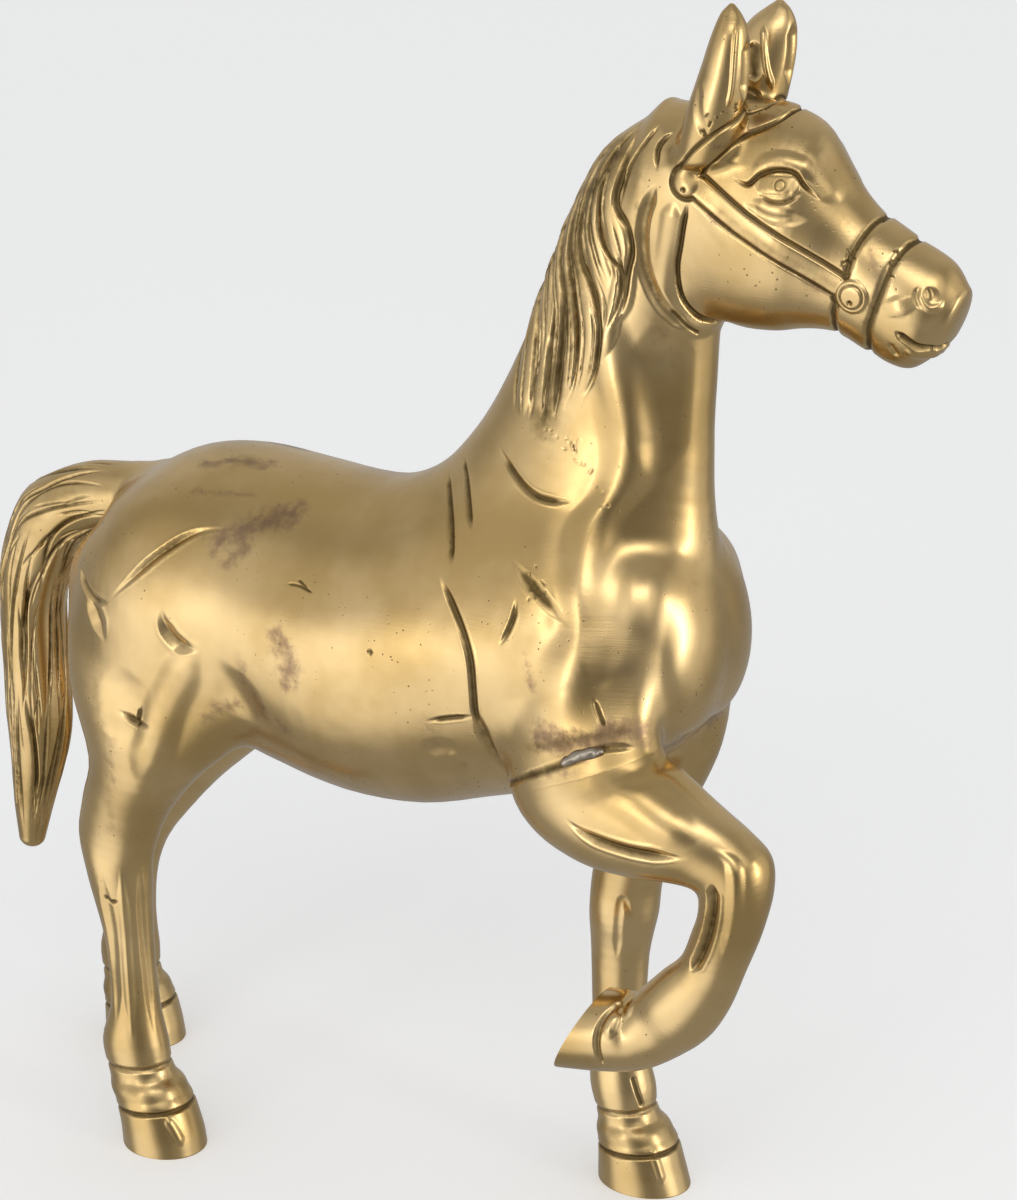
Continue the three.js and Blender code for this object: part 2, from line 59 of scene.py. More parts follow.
# Half widths of the body, measured across the horse in mm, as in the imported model
RUMP_HALF = 34.0
BARREL_HALF = 36.5
SHOULDER_HALF = 33.0
CHEST_HALF = 25.0
NECK_HALF = 13.5
CHEEK_HALF = 13.5
MUZZLE_HALF = 9.5

# Legs, each half measured across the horse
FORE_STANCE = 23.5
HIND_STANCE = 24.5
RAISED_STANCE = 29.0
KNEE_HALF = 8.5
HOCK_HALF = 7.5
CANNON_HALF = 6.0
FETLOCK_HALF = 7.6
HOOF_HALF = 10.5

# Ears and bridle
EAR_SPREAD = 11.0
EAR_TIP_HEIGHT = 321.0
STRAP_WIDTH = 5.0
ROSETTE_RADIUS = 3.4

# A section is a row: x and z of the profile's upper end, x and z of its lower end, half width, y
Rows = Sequence[Sequence[float]]

TRUNK: Rows = (
    (-118.5, 168, -118.5, 150, 14, 0), (-113.5, 181, -113.5, 138, 24, 0),
    (-105, 187.5, -105, 128, 30, 0), (-92, 194, -92, 121, RUMP_HALF - 1, 0),
    (-77, 196.5, -77, 117.5, RUMP_HALF, 0), (-59, 195.5, -59, 113, BARREL_HALF - 1.5, 0),
    (-39, 194.3, -39, 109.7, BARREL_HALF, 0), (-19, 197, -19, 110.7, BARREL_HALF - 0.5, 0),
    (0, 200, 0, 116.5, SHOULDER_HALF + 1, 0), (18, 200, 18, 122.5, SHOULDER_HALF, 0),
    (34, 195, 34, 129, SHOULDER_HALF - 3, 0), (48, 187, 48, 138, CHEST_HALF, 0),
    (54.4, 181, 54.4, 147, 19, 0),
)
NECK: Rows = (
    (-34, 188, 44, 146, CHEST_HALF, 0), (-20.5, 199, 58, 166, CHEST_HALF - 1, 0),
    (-10, 210, 57.5, 186, CHEST_HALF - 5, 0), (-1.7, 222.5, 55.5, 203, NECK_HALF + 3, 0),
    (5.6, 237.3, 55.3, 220, NECK_HALF + 1, 0), (11.8, 253.8, 55.8, 235, NECK_HALF, 0),
    (18, 270, 56.5, 248, NECK_HALF - 0.5, 0), (26.5, 285.5, 59, 258, NECK_HALF - 0.5, 0),
    (42, 297, 64, 266, NECK_HALF - 1, 0),
)
HEAD_JOINT = (34, 291, 56.5, 246, NECK_HALF, 0)
HEAD: Rows = (
    (44, 297, 42, 262, CHEEK_HALF - 2, 0), (58, 300.5, 53, 251, CHEEK_HALF - 0.5, 0),
    (71, 300.3, 62.5, 247.5, CHEEK_HALF, 0), (81, 297, 71.5, 247.5, CHEEK_HALF, 0),
    (86.8, 289.5, 78.5, 249, CHEEK_HALF - 1.5, 0), (92, 282.3, 84, 249.5, MUZZLE_HALF + 1, 0),
    (97.5, 277.3, 89.5, 249, MUZZLE_HALF + 0.3, 0), (103.6, 273.8, 95, 246.5, MUZZLE_HALF, 0),
    (109.7, 271.2, 100.5, 243.8, MUZZLE_HALF, 0), (114.6, 268.2, 106, 243.3, MUZZLE_HALF - 0.7, 0),
    (118, 263.5, 111.3, 247, MUZZLE_HALF - 3, 0),
)
TAIL: Rows = (
    (-106, 187.5, -106, 169.5, 7.5, 0), (-117, 185.8, -117, 167.5, 8, 0),
    (-129.5, 184, -126, 165, 8.5, 0), (-141, 179.5, -133.5, 160, 9, 0),
    (-151, 172.5, -138, 151.5, 9.5, 0), (-158, 157, -141.5, 140.5, 9.5, 0),
    (-159.8, 140, -142, 128, 9.5, 0), (-160, 122, -141.5, 115, 9.5, 0),
    (-160, 107, -142, 102, 9, 0), (-159.6, 93, -145, 90.5, 7.5, 0),
    (-160, 80, -149, 78, 5.6, 0), (-159.6, 69.5, -152, 68.5, 3.8, 0),
)
LEFT_FORE: Rows = (
    (42, 182, 6, 176, 9, FORE_STANCE - 7), (49, 164, 6, 160, 12, FORE_STANCE - 5),
    (52, 147, 7, 146, 12.5, FORE_STANCE - 4), (49.3, 131, 12, 130, 11.8, FORE_STANCE - 2.5),
    (43, 116, 15, 113, 10.5, FORE_STANCE - 1.5), (36, 101, 14.2, 98, 9, FORE_STANCE - 0.5),
    (32, 88, 12.6, 85.5, KNEE_HALF, FORE_STANCE), (30.8, 78, 12.2, 77, KNEE_HALF, FORE_STANCE),
    (28.6, 66, 12.5, 66, CANNON_HALF + 0.6, FORE_STANCE), (28, 50, 12.9, 50, CANNON_HALF, FORE_STANCE),
    (28.6, 38, 12.8, 38, CANNON_HALF + 0.3, FORE_STANCE), (31, 28, 12.8, 27, FETLOCK_HALF, FORE_STANCE),
    (32, 20.5, 15.2, 18, FETLOCK_HALF, FORE_STANCE), (37.4, 13.5, 15.6, 11, HOOF_HALF - 0.8, FORE_STANCE),
    (40, 6, 15.8, 6, HOOF_HALF - 0.2, FORE_STANCE), (41.8, 0, 15.8, 0, HOOF_HALF, FORE_STANCE),
)
RIGHT_FORE: Rows = (
    (42, 186, 6, 174, 9, -RAISED_STANCE + 12.5), (51, 168, 9, 153, 12, -RAISED_STANCE + 8.5),
    (56.5, 149.5, 17, 132, 11.8, -RAISED_STANCE + 2), (63, 145.5, 25.5, 123, 12, -RAISED_STANCE),
    (70, 141.3, 38, 118, 11.5, -RAISED_STANCE - 0.8), (76.5, 137.3, 51, 117, 10.5, -RAISED_STANCE - 1),
    (82, 133.3, 62.5, 117.8, 9.3, -RAISED_STANCE - 0.5), (87, 128, 69, 117, KNEE_HALF + 0.3, -RAISED_STANCE),
    (88, 120, 69.8, 112, KNEE_HALF, -RAISED_STANCE), (86, 109.5, 68, 106, CANNON_HALF + 1, -RAISED_STANCE),
    (82, 98, 65, 98.3, CANNON_HALF, -RAISED_STANCE), (78, 87, 60.2, 93.3, CANNON_HALF + 0.7, -RAISED_STANCE),
    (71.8, 77, 55.8, 88.5, FETLOCK_HALF, -RAISED_STANCE + 0.5),
    (63.7, 69.7, 52.6, 84.8, FETLOCK_HALF - 0.5, -RAISED_STANCE + 1),
    (56, 64.8, 50.6, 81.5, FETLOCK_HALF + 0.6, -RAISED_STANCE + 1.5),
    (49.5, 62.4, 49.3, 82.5, HOOF_HALF - 0.9, -RAISED_STANCE + 2),
    (41, 60.6, 46.6, 82.5, HOOF_HALF - 0.3, -RAISED_STANCE + 2),
    (31.2, 59.2, 42.7, 81.8, HOOF_HALF, -RAISED_STANCE + 2),
)
RIGHT_HIND: Rows = (
    (-60, 177, -103, 177, 7, -HIND_STANCE + 10), (-51, 163, -119, 169, 13, -HIND_STANCE + 8),
    (-54, 143, -121.5, 153, 14, -HIND_STANCE + 5), (-68, 123, -119.6, 134, 13, -HIND_STANCE + 1.5),
    (-81, 110.5, -113, 113.5, 11, -HIND_STANCE), (-91, 97.5, -116, 101, 9, -HIND_STANCE),
    (-95.8, 86, -118.3, 90, HOCK_HALF, -HIND_STANCE), (-97, 76, -116, 78, HOCK_HALF, -HIND_STANCE),
    (-97.3, 62, -112, 63, CANNON_HALF + 0.3, -HIND_STANCE), (-96.8, 50, -110, 50, CANNON_HALF, -HIND_STANCE),
    (-96, 40, -110.2, 40, CANNON_HALF + 0.3, -HIND_STANCE), (-94, 30, -113.3, 29, FETLOCK_HALF, -HIND_STANCE),
    (-92.5, 22, -111.5, 19.5, FETLOCK_HALF, -HIND_STANCE),
    (-87.5, 15, -109, 12, HOOF_HALF - 0.8, -HIND_STANCE),
    (-84.2, 6, -107.6, 6, HOOF_HALF - 0.2, -HIND_STANCE), (-83, 0, -107, 0, HOOF_HALF, -HIND_STANCE),
)
LEFT_HIND: Rows = (
    (-60, 177, -103, 177, 7, HIND_STANCE - 10), (-53, 161, -119, 169, 13, HIND_STANCE - 8),
    (-61, 138, -121.5, 152, 14, HIND_STANCE - 5), (-76, 118, -122, 135, 13, HIND_STANCE - 1.5),
    (-92.5, 101.5, -124, 118, 11, HIND_STANCE), (-107, 88.5, -132.5, 104.5, 9.5, HIND_STANCE),
    (-118, 76.5, -144.5, 90.5, HOCK_HALF + 0.2, HIND_STANCE),
    (-126.7, 65.5, -147, 75.5, HOCK_HALF, HIND_STANCE),
    (-131.5, 54, -147, 59, CANNON_HALF + 0.5, HIND_STANCE), (-133, 41, -147, 42.5, CANNON_HALF, HIND_STANCE),
    (-132.7, 28.5, -150.5, 28, FETLOCK_HALF, HIND_STANCE),
    (-132.3, 20.5, -149.8, 18, FETLOCK_HALF, HIND_STANCE),
    (-128.5, 14, -149.3, 11, HOOF_HALF - 0.8, HIND_STANCE),
    (-126, 6, -149.4, 6, HOOF_HALF - 0.2, HIND_STANCE),
    (-125, 0, -149.5, 0, HOOF_HALF, HIND_STANCE),
)
STANDING = (LEFT_FORE, RIGHT_HIND, LEFT_HIND)
# The ridge from the side of the neck down to the shoulder, on the left
RIDGE: Rows = (
    (36.5, 248, 29.5, 246, 3.5, 9.6), (40, 238, 31, 236, 4.6, 9.9), (43, 228, 33.5, 226, 5, 9.8),
    (44.8, 218, 34.5, 216, 5.2, 9.9), (43.5, 209, 32.5, 207, 6, 10.4), (39.5, 201, 27.5, 199, 7.2, 12.6),
    (40, 193, 26.5, 191.5, 8.2, 15.2), (42, 184.5, 27.5, 183.5, 8.8, 18.4), (44.4, 176, 29, 175.5, 9, 20.8),
    (43, 167.5, 27, 167, 9.2, 23.6), (41, 159, 25, 158.5, 9, 25.4), (40, 150, 24, 150, 7, 27),
)
EAR: Rows = (
    (65, 289, 48, 287, 6.5, EAR_SPREAD - 2), (67.3, 300, 50.5, 299, 6.5, EAR_SPREAD - 0.5),
    (68.8, 309, 53.6, 309, 5.5, EAR_SPREAD), (68.8, 315.5, 57, 315.5, 4, EAR_SPREAD + 0.3),
    (67.4, EAR_TIP_HEIGHT - 1.8, 61.2, EAR_TIP_HEIGHT - 1.8, 2, EAR_SPREAD + 0.3),
    (65.6, EAR_TIP_HEIGHT, 63.8, EAR_TIP_HEIGHT, 0.8, EAR_SPREAD + 0.3),
)
# The right ear stands a little taller and is narrower
RIGHT_EAR: Rows = (
    (64.6, 289, 49.5, 287, 6.3, 2 - EAR_SPREAD), (66.6, 300, 53, 299, 6, 0.5 - EAR_SPREAD),
    (67.8, 310, 56.8, 310, 5, -EAR_SPREAD), (67.6, 317.5, 59.4, 317.5, 3.6, -EAR_SPREAD - 0.3),
    (66, EAR_TIP_HEIGHT + 0.4, 61, EAR_TIP_HEIGHT + 0.4, 1.9, -EAR_SPREAD - 0.3),
    (64.4, EAR_TIP_HEIGHT + 2.4, 62.8, EAR_TIP_HEIGHT + 2.4, 0.8, -EAR_SPREAD - 0.3),
)


class Side(Enum):
    """Which side of the horse a mark is on, as the sign of Y."""

    RIGHT = (-1,)
    LEFT = (1,)
    BOTH = (-1, 1)


def mirrored(rows: Rows) -> list[list[float]]:
    """Gives the same sections on the other side of the horse."""
    return [[*row[:5], -row[5]] for row in rows]


def smooth_min(a: Array, b: Array, reach: float) -> Array:
    """Joins two distance fields with a fillet.

    Args:
        a: The first field's distances.
        b: The second field's distances.
        reach: How far from the seam the fillet starts, in mm.

    Returns:
        The joined distances.
    """
    overlap = np.maximum(reach - np.abs(a - b), 0.0) / reach
    return np.minimum(a, b) - overlap * overlap * reach * 0.25


def smooth_row(values: Array, steps: int) -> Array:
    """Fills a row of values with a smooth curve through them.

    Args:
        values: One row for each given place.
        steps: How many rows each span gets.

    Returns:
        The longer row, which passes through every given value.
    """
    first = 2 * values[0] - values[1]
    last = 2 * values[-1] - values[-2]
    padded = np.vstack([first, values, last])
    t = np.linspace(0.0, 1.0, steps, endpoint=False)[:, None]
    spans = []
    for a, b, c, d in zip(padded[:-3], padded[1:-2], padded[2:-1], padded[3:]):
        spans.append(0.5 * (2 * b + (c - a) * t + (2 * a - 5 * b + 4 * c - d) * t ** 2
                            + (3 * b - a - 3 * c + d) * t ** 3))
    spans.append(values[-1:])
    return np.vstack(spans)


class Form:
    """A solid form that knows how far a point lies from its skin."""

    margin = 14.0

    def __init__(self, low: Array, high: Array) -> None:
        """Keeps the box outside which only a rough distance is given.

        Args:
            low: The form's lowest corner.
            high: Its highest corner.
        """
        self.low = np.asarray(low, np.float32) - self.margin
        self.high = np.asarray(high, np.float32) + self.margin

    def near_distance(self, points: Array) -> Array:
        """Gives the distance of points close to the form."""
        raise NotImplementedError

    def distance(self, points: Array) -> Array:
        """Gives the distance of each point from the skin, negative inside.

        Args:
            points: Points in mm, one row each.

        Returns:
            One distance for each point.
        """
        outside = np.maximum(np.maximum(self.low - points, points - self.high), 0.0)
        result = np.sqrt((outside * outside).sum(1)) + self.margin
        near = np.flatnonzero(result <= self.margin)
        if len(near):
            result[near] = self.near_distance(points[near])
        return result.astype(np.float32)


class Loft(Form):
    """A form through the oval outlines of a row of sections, each in its own slanted plane."""

    def __init__(self, rows: Rows, steps: int = 4, tip: float = 0.3, root: float = 0.3) -> None:
        """Works out the fine sections.

        Args:
            rows: The given sections in order.
            steps: Fine sections for each span.
            tip: Length of the rounded last end, as a share of its section's half width.
            root: The same for the first end.
        """
        self.steps = steps
        fine = smooth_row(np.array(rows, float), steps)
        upper, lower = fine[:, 0:2], fine[:, 2:4]
        middle, reach = (upper + lower) / 2, (upper - lower) / 2
        deep = np.maximum(np.linalg.norm(reach, axis=1), 0.3)
        way = reach / deep[:, None]
        across = np.column_stack([-way[:, 1], way[:, 0]])
        if ((middle[1:] - middle[:-1]) * across[:-1]).sum() < 0:
            across = -across
        half = np.maximum(fine[:, 4], 0.3)
        self.table = np.column_stack([middle, way, deep, half, fine[:, 5]]).astype(np.float32)
        self.across = across.astype(np.float32)
        self.across_shift = -(across * middle).sum(1).astype(np.float32)
        self.way = way.astype(np.float32)
        self.way_shift = -(way * middle).sum(1).astype(np.float32)
        self.ends = (root, tip)
        spine = np.column_stack([middle[:, 0], fine[:, 5], middle[:, 1]])
        bulk = np.column_stack([deep, half, deep])
        super().__init__((spine - bulk).min(0), (spine + bulk).max(0))

    def spot(self, place: float, turn: float) -> list[float]:
        """Gives a point on the skin.

        Args:
            place: Which given section it lies on, counted from 0, with a share of the next span.
            turn: The angle round the section, from its upper end towards the horse's left.

        Returns:
            The point in mm.
        """
        index = min(int(place * self.steps), len(self.table) - 2)
        share = place * self.steps - index
        x, z, way_x, way_z, deep, half, y = self.table[index] * (1 - share) + self.table[index + 1] * share
        up, left = deep * math.cos(turn), half * math.sin(turn)
        return [float(x + way_x * up), float(y + left), float(z + way_z * up)]

    def level(self, points: Array, section: Array, past: Array, end: float) -> Array:
        """Gives the distance from one oval outline for each point.

        Args:
            points: Points in mm.
            section: The outline's middle, way, depth, half width and place across, one row a point.
            past: How far the point lies past the form's end, zero elsewhere.
            end: Length of the rounded end, as a share of its half width.

        Returns:
            The distances.
        """
        way = section[:, 2:4] / np.linalg.norm(section[:, 2:4], axis=1, keepdims=True)
        deep, half = section[:, 4], section[:, 5]
        u = ((points[:, 0] - section[:, 0]) * way[:, 0] + (points[:, 2] - section[:, 1]) * way[:, 1]) / deep
        v = (points[:, 1] - section[:, 6]) / half
        cap = np.maximum(end * np.minimum(deep, half), 0.3)
        w = past / cap
        level = np.sqrt(u * u + v * v + w * w) + 1e-6
        slope = np.sqrt((u / deep) ** 2 + (v / half) ** 2 + (w / cap) ** 2) / level + 1e-6
        return (level - 1.0) / slope

    def near_distance(self, points: Array) -> Array:
        """Gives the distance of points close to the loft.

        Each point lies in the plane of one section between the fine ones, or past an end.

        Args:
            points: Points in mm.

        Returns:
            The distances.
        """
        plane = points[:, [0, 2]]
        ahead = plane @ self.across.T + self.across_shift
        along = np.abs(plane @ self.way.T + self.way_shift) - self.table[:, 4]
        crossed = (ahead[:, :-1] >= 0) & (ahead[:, 1:] <= 0)
        cost = np.where(crossed, along[:, :-1] + along[:, 1:], np.inf)
        place = cost.argmin(1)
        row = np.arange(len(points))
        found = np.isfinite(cost[row, place])
        a, b = ahead[row, place], ahead[row, place + 1]
        share = np.where(found, a / np.maximum(a - b, 1e-6), 0.0).clip(0, 1)[:, None]
        section = self.table[place] * (1 - share) + self.table[place + 1] * share
        level = self.level(points, section, np.zeros(len(points), np.float32), 1.0)
        result = np.where(found, level, np.inf)
        for end, past in ((0, -ahead[:, 0]), (-1, ahead[:, -1])):
            beyond = np.flatnonzero(past > 0)
            if len(beyond):
                rows = np.repeat(self.table[end][None], len(beyond), 0)
                capped = self.level(points[beyond], rows, past[beyond], self.ends[end])
                result[beyond] = np.minimum(result[beyond], capped)
        return np.minimum(result, 4 * self.margin)


class Egg(Form):
    """An egg-shaped muscle, or one with flatter faces."""

    def __init__(self, at: Sequence[float], size: Sequence[float], tilt: float = 0.0,
                 turn: float = 0.0, power: float = 2.0) -> None:
        """Places the egg.

        Args:
            at: Its centre in mm.
            size: Its half sizes before turning.
            tilt: Turn about the Y axis in degrees.
            turn: Turn about the Z axis in degrees, after the tilt.
            power: 2 for an egg, more for flatter faces with firmer edges.
        """
        self.power = power
        self.at = np.array(at, np.float32)
        self.size = np.array(size, np.float32)
        a, b = math.radians(tilt), math.radians(turn)
        tilted = np.array([[math.cos(a), 0, math.sin(a)], [0, 1, 0], [-math.sin(a), 0, math.cos(a)]])
        turned = np.array([[math.cos(b), -math.sin(b), 0], [math.sin(b), math.cos(b), 0], [0, 0, 1]])
        self.axes = (turned @ tilted).astype(np.float32)
        reach = float(self.size.max())
        super().__init__(self.at - reach, self.at + reach)

    def near_distance(self, points: Array) -> Array:
        """Gives the distance of points close to the egg.

        Args:
            points: Points in mm.

        Returns:
            The distances.
        """
        local = np.abs((points - self.at) @ self.axes / self.size)
        level = (local ** self.power).sum(1) ** (1 / self.power) + 1e-6
        steep = (local / level[:, None]) ** (self.power - 1) / self.size
        return (level - 1.0) / (np.linalg.norm(steep, axis=1) + 1e-6)


def eggs(at: Sequence[float], size: Sequence[float], reach: float, tilt: float = 0.0,
         turn: float = 0.0, power: float = 2.0) -> list[tuple[Form, float]]:
    """Makes the same muscle on the right and the left side, with the reach of its fillet."""
    x, y, z = at
    return [(Egg((x, side * y, z), size, tilt, side * turn, power), reach) for side in Side.BOTH.value]


def blended(parts: Iterable[tuple[Form, float]]) -> Field:
    """Joins forms into one field, each with its own fillet.

    Args:
        parts: Forms with the reach of their fillets in mm.

    Returns:
        The field of the joined forms.
    """
    forms = list(parts)

    def distance(points: Array) -> Array:
        """Gives the distance of points from the joined forms.

        Args:
            points: Points in mm.

        Returns:
            The distances.
        """
        result = forms[0][0].distance(points)
        for form, reach in forms[1:]:
            result = smooth_min(result, form.distance(points), reach)
        return result

    return distance


CHUNK = 20_000


def measure(distance: Field, points: Array) -> Array:
    """Gives a field at many points, a chunk at a time.

    Args:
        distance: The field.
        points: Points in mm.

    Returns:
        The distances.
    """
    if not len(points):
        return np.zeros(0, np.float32)
    chunks = [points[i:i + CHUNK] for i in range(0, len(points), CHUNK)]
    with ThreadPoolExecutor(4) as pool:
        return np.concatenate(list(pool.map(distance, chunks)))


def slopes(distance: Field, points: Array, reach: float = 0.3) -> tuple[Array, Array, Array]:
    """Gives a field, its unit slope and its steepness at points.

    Args:
        distance: The field.
        points: Points in mm.
        reach: How far from each point the slope is measured.

    Returns:
        The distances, the outward directions, and how fast the distance grows along them.
    """
    value = np.zeros(len(points), np.float32)
    slope = np.zeros_like(points)
    for shift in np.array([[1, -1, -1], [-1, -1, 1], [-1, 1, -1], [1, 1, 1]], np.float32):
        level = measure(distance, points + shift * reach)
        value += level / 4
        slope += level[:, None] * shift / (4 * reach)
    steep = np.linalg.norm(slope, axis=1)
    return value, slope / np.maximum(steep, 1e-6)[:, None], steep


def settled(distance: Field, points: Array, limit: float, rounds: int = 2) -> Array:
    """Moves points onto the skin of a field.

    Args:
        distance: The field.
        points: Points near its skin, in mm.
        limit: The most that a point moves in one round.
        rounds: How often the points are moved.

    Returns:
        The moved points.
    """
    for _ in range(rounds):
        value, way, steep = slopes(distance, points)
        points = points - way * np.clip(value / np.maximum(steep, 0.4), -limit, limit)[:, None]
    return points


BLOCK = 4


def grid_levels(distance: Field, low: Array, blocks: Array, step: float) -> Array:
    """Gives a field on a grid, exact near its skin and rough elsewhere.

    Args:
        distance: The field.
        low: The grid's lowest corner in mm.
        blocks: How many blocks of grid points there are along each axis.
        step: Spacing of the grid in mm.

    Returns:
        The distances on the grid.
    """
    index = np.stack(np.meshgrid(*[np.arange(n) for n in blocks], indexing="ij"), -1).reshape(-1, 3)
    rough = measure(distance, (low + (index + 0.5) * BLOCK * step).astype(np.float32))
    grid = rough.reshape(blocks)
    for axis in range(3):
        grid = np.repeat(grid, BLOCK, axis)
    near = index[np.abs(rough) < BLOCK * step * 1.35]
    inner = np.stack(np.meshgrid(*[np.arange(BLOCK)] * 3, indexing="ij"), -1).reshape(-1, 3)
    for i in range(0, len(near), 8000):
        cells = (near[i:i + 8000, None, :] * BLOCK + inner[None]).reshape(-1, 3)
        values = measure(distance, (low + cells * step).astype(np.float32))
        grid[cells[:, 0], cells[:, 1], cells[:, 2]] = values
    return grid


def netted(grid: Array, low: Array, step: float) -> tuple[Array, Array]:
    """Nets a grid: a point in each cell that the skin crosses, a face on each crossed edge.

    Args:
        grid: The field on the grid.
        low: The grid's lowest corner in mm.
        step: Its spacing.

    Returns:
        The points in mm and the four-sided faces.
    """
    inside = grid < 0
    corners = [(i, j, k) for i in (0, 1) for j in (0, 1) for k in (0, 1)]
    cut = tuple(n - 1 for n in grid.shape)
    count = np.zeros(cut, np.int8)
    for c in corners:
        count += inside[c[0]:c[0] + cut[0], c[1]:c[1] + cut[1], c[2]:c[2] + cut[2]]
    cells = np.argwhere((count > 0) & (count < 8))
    number = np.full(cut, -1, np.int32)
    number[cells[:, 0], cells[:, 1], cells[:, 2]] = np.arange(len(cells))
    value = {c: grid[cells[:, 0] + c[0], cells[:, 1] + c[1], cells[:, 2] + c[2]] for c in corners}
    total = np.zeros((len(cells), 3), np.float32)
    crossings = np.zeros(len(cells), np.float32)
    for c in corners:
        for axis in [n for n in range(3) if not c[n]]:
            a, b = value[c], value[tuple(1 if n == axis else c[n] for n in range(3))]
            crossed = (a < 0) != (b < 0)
            place = np.tile(np.array(c, np.float32), (len(cells), 1))
            place[:, axis] += np.where(crossed, a / np.where(crossed, a - b, 1.0), 0.0)
            total += np.where(crossed[:, None], place, 0.0)
            crossings += crossed
    points = low + (cells + total / crossings[:, None]) * step
    faces = []
    for axis in range(3):
        lower = [slice(0, n) for n in grid.shape]
        upper = list(lower)
        lower[axis] = slice(0, grid.shape[axis] - 1)
        upper[axis] = slice(1, grid.shape[axis])
        edges = np.argwhere(inside[tuple(lower)] != inside[tuple(upper)])
        u, v = (axis + 1) % 3, (axis + 2) % 3
        fits = (edges[:, u] > 0) & (edges[:, v] > 0) & (edges[:, u] < cut[u]) & (edges[:, v] < cut[v])
        edges = edges[fits]
        around = []
        for du, dv in ((1, 1), (0, 1), (0, 0), (1, 0)):
            cell = edges.copy()
            cell[:, u] -= du
            cell[:, v] -= dv
            around.append(number[cell[:, 0], cell[:, 1], cell[:, 2]])
        quad = np.stack(around, 1)
        entering = ~inside[edges[:, 0], edges[:, 1], edges[:, 2]]
        quad[entering] = quad[entering][:, ::-1]
        faces.append(quad)
    return points.astype(np.float32), np.vstack(faces)


def skin_of(distance: Field, low: Sequence[float], high: Sequence[float], step: float) -> tuple[Array, Array]:
    """Makes the skin of a field inside a box.

    Args:
        distance: The field.
        low: The box's lowest corner in mm.
        high: Its highest corner.
        step: Spacing of the mesh in mm.

    Returns:
        The points in mm and the faces.
    """
    corner = np.array(low, np.float32)
    blocks = np.ceil((np.array(high) - corner) / (step * BLOCK)).astype(int)
    points, faces = netted(grid_levels(distance, corner, blocks, step), corner, step)
    return settled(distance, points, step), faces


# How long the rounded end of a form is, as a share of its half width
FORE_ROOT = 1.3
HIND_ROOT = 0.5
TAIL_ROOT = 0.3
TAIL_TIP = 0.9
BREAST_TIP = 0.4

# The section of each limb on which its joint face lies
LEG_JOINT = 4
RAISED_JOINT = 2
TAIL_JOINT = 1

# Fillets where the limbs meet the body, in mm
LIMB_FILLET = 6.0
RAISED_FILLET = 5.0
TAIL_FILLET = 3.0


def horse_forms() -> list[tuple[Form, float]]:
    """Gives the forms of the horse without its raised leg and its tail.

    Returns:
        The trunk, its muscles, the neck, the head and three legs, each with the reach of its fillet.
    """
    return [
        (Loft(TRUNK, tip=BREAST_TIP), 0.0),
        *eggs((-88, RUMP_HALF - 18, 156), (25, 15.8, 27), 10, tilt=12),
        *eggs((27, SHOULDER_HALF - 19, 166), (20.4, 17.4, 32), 5, tilt=-18),
        *eggs((43, CHEST_HALF - 16, 166), (14, 13, 21), 7),
        (Loft(NECK), 8.0),
        (Loft(RIDGE, tip=1.0, root=1.5), 4.0),
        (Loft(mirrored(RIDGE), tip=1.0, root=1.5), 4.0),
        *eggs((44.6, 10.6, 167.5), (13, 13, 23), 7.0, turn=25, power=2.6),
        (Loft(HEAD), 5.0),
        (Loft(EAR), 3.0),
        (Loft(RIGHT_EAR), 3.0),
        (Loft(LEFT_FORE, root=FORE_ROOT), LIMB_FILLET),
        (Loft(RIGHT_HIND, root=HIND_ROOT), LIMB_FILLET),
        (Loft(LEFT_HIND, root=HIND_ROOT), LIMB_FILLET),
    ]


class Cut(Enum):
    """How a mark's floor runs from its middle to its edge."""

    SOFT = "soft"
    GASH = "gash"
    STRAP = "strap"
    LOCK = "lock"
    KNOB = "knob"


def cut_shape(cut: Cut, q: Array) -> Array:
    """Gives the height of a mark, from 0 outside it to 1 in its middle.

    Args:
        cut: How the mark's floor runs.
        q: Distance from the mark's middle, as a share of its half width.

    Returns:
        The height, negative where the mark raises a lip or sinks a groove beside it.
    """
    inside = np.clip(1 - q, 0, 1)
    if cut is Cut.SOFT:
        return np.clip(1 - q * q, 0, 1) ** 2
    if cut is Cut.GASH:
        return inside ** 1.2 - 0.1 * np.exp(-((q - 1.15) / 0.25) ** 2)
    if cut is Cut.STRAP:
        crown = 1 / (1 + np.exp((q - 0.93) / 0.045)) * (1 - 0.25 * q * q)
        return crown - 0.85 * np.exp(-((q - 1.2) / 0.16) ** 2)
    if cut is Cut.LOCK:
        return np.clip(1 - q * q, 0, 1) ** 0.75
    return np.clip(1 - q ** 4, 0, 1) ** 0.6 - 0.45 * np.exp(-((q - 1.14) / 0.12) ** 2)


def near_line(points: Array, line: Array, reach: float) -> Array:
    """Finds the points in the box round a path.

    Args:
        points: Points in mm.
        line: The path's points.
        reach: How much wider than the path the box is, in mm.

    Returns:
        The numbers of the points in it.
    """
    return np.flatnonzero(((points > line.min(0) - reach) & (points < line.max(0) + reach)).all(1))


# A path given by x and z alone starts so far out, in mm, and comes in to the skin in so many moves,
# each this share of the way that is left, and no longer than the last number
SIDE_START = 60.0
MOVES = 60
MOVE_SHARE = 0.8
LONGEST_MOVE = 6.0
# The mesh is finer near marks whose half width is no more than this, in mm
NARROW = 3.5


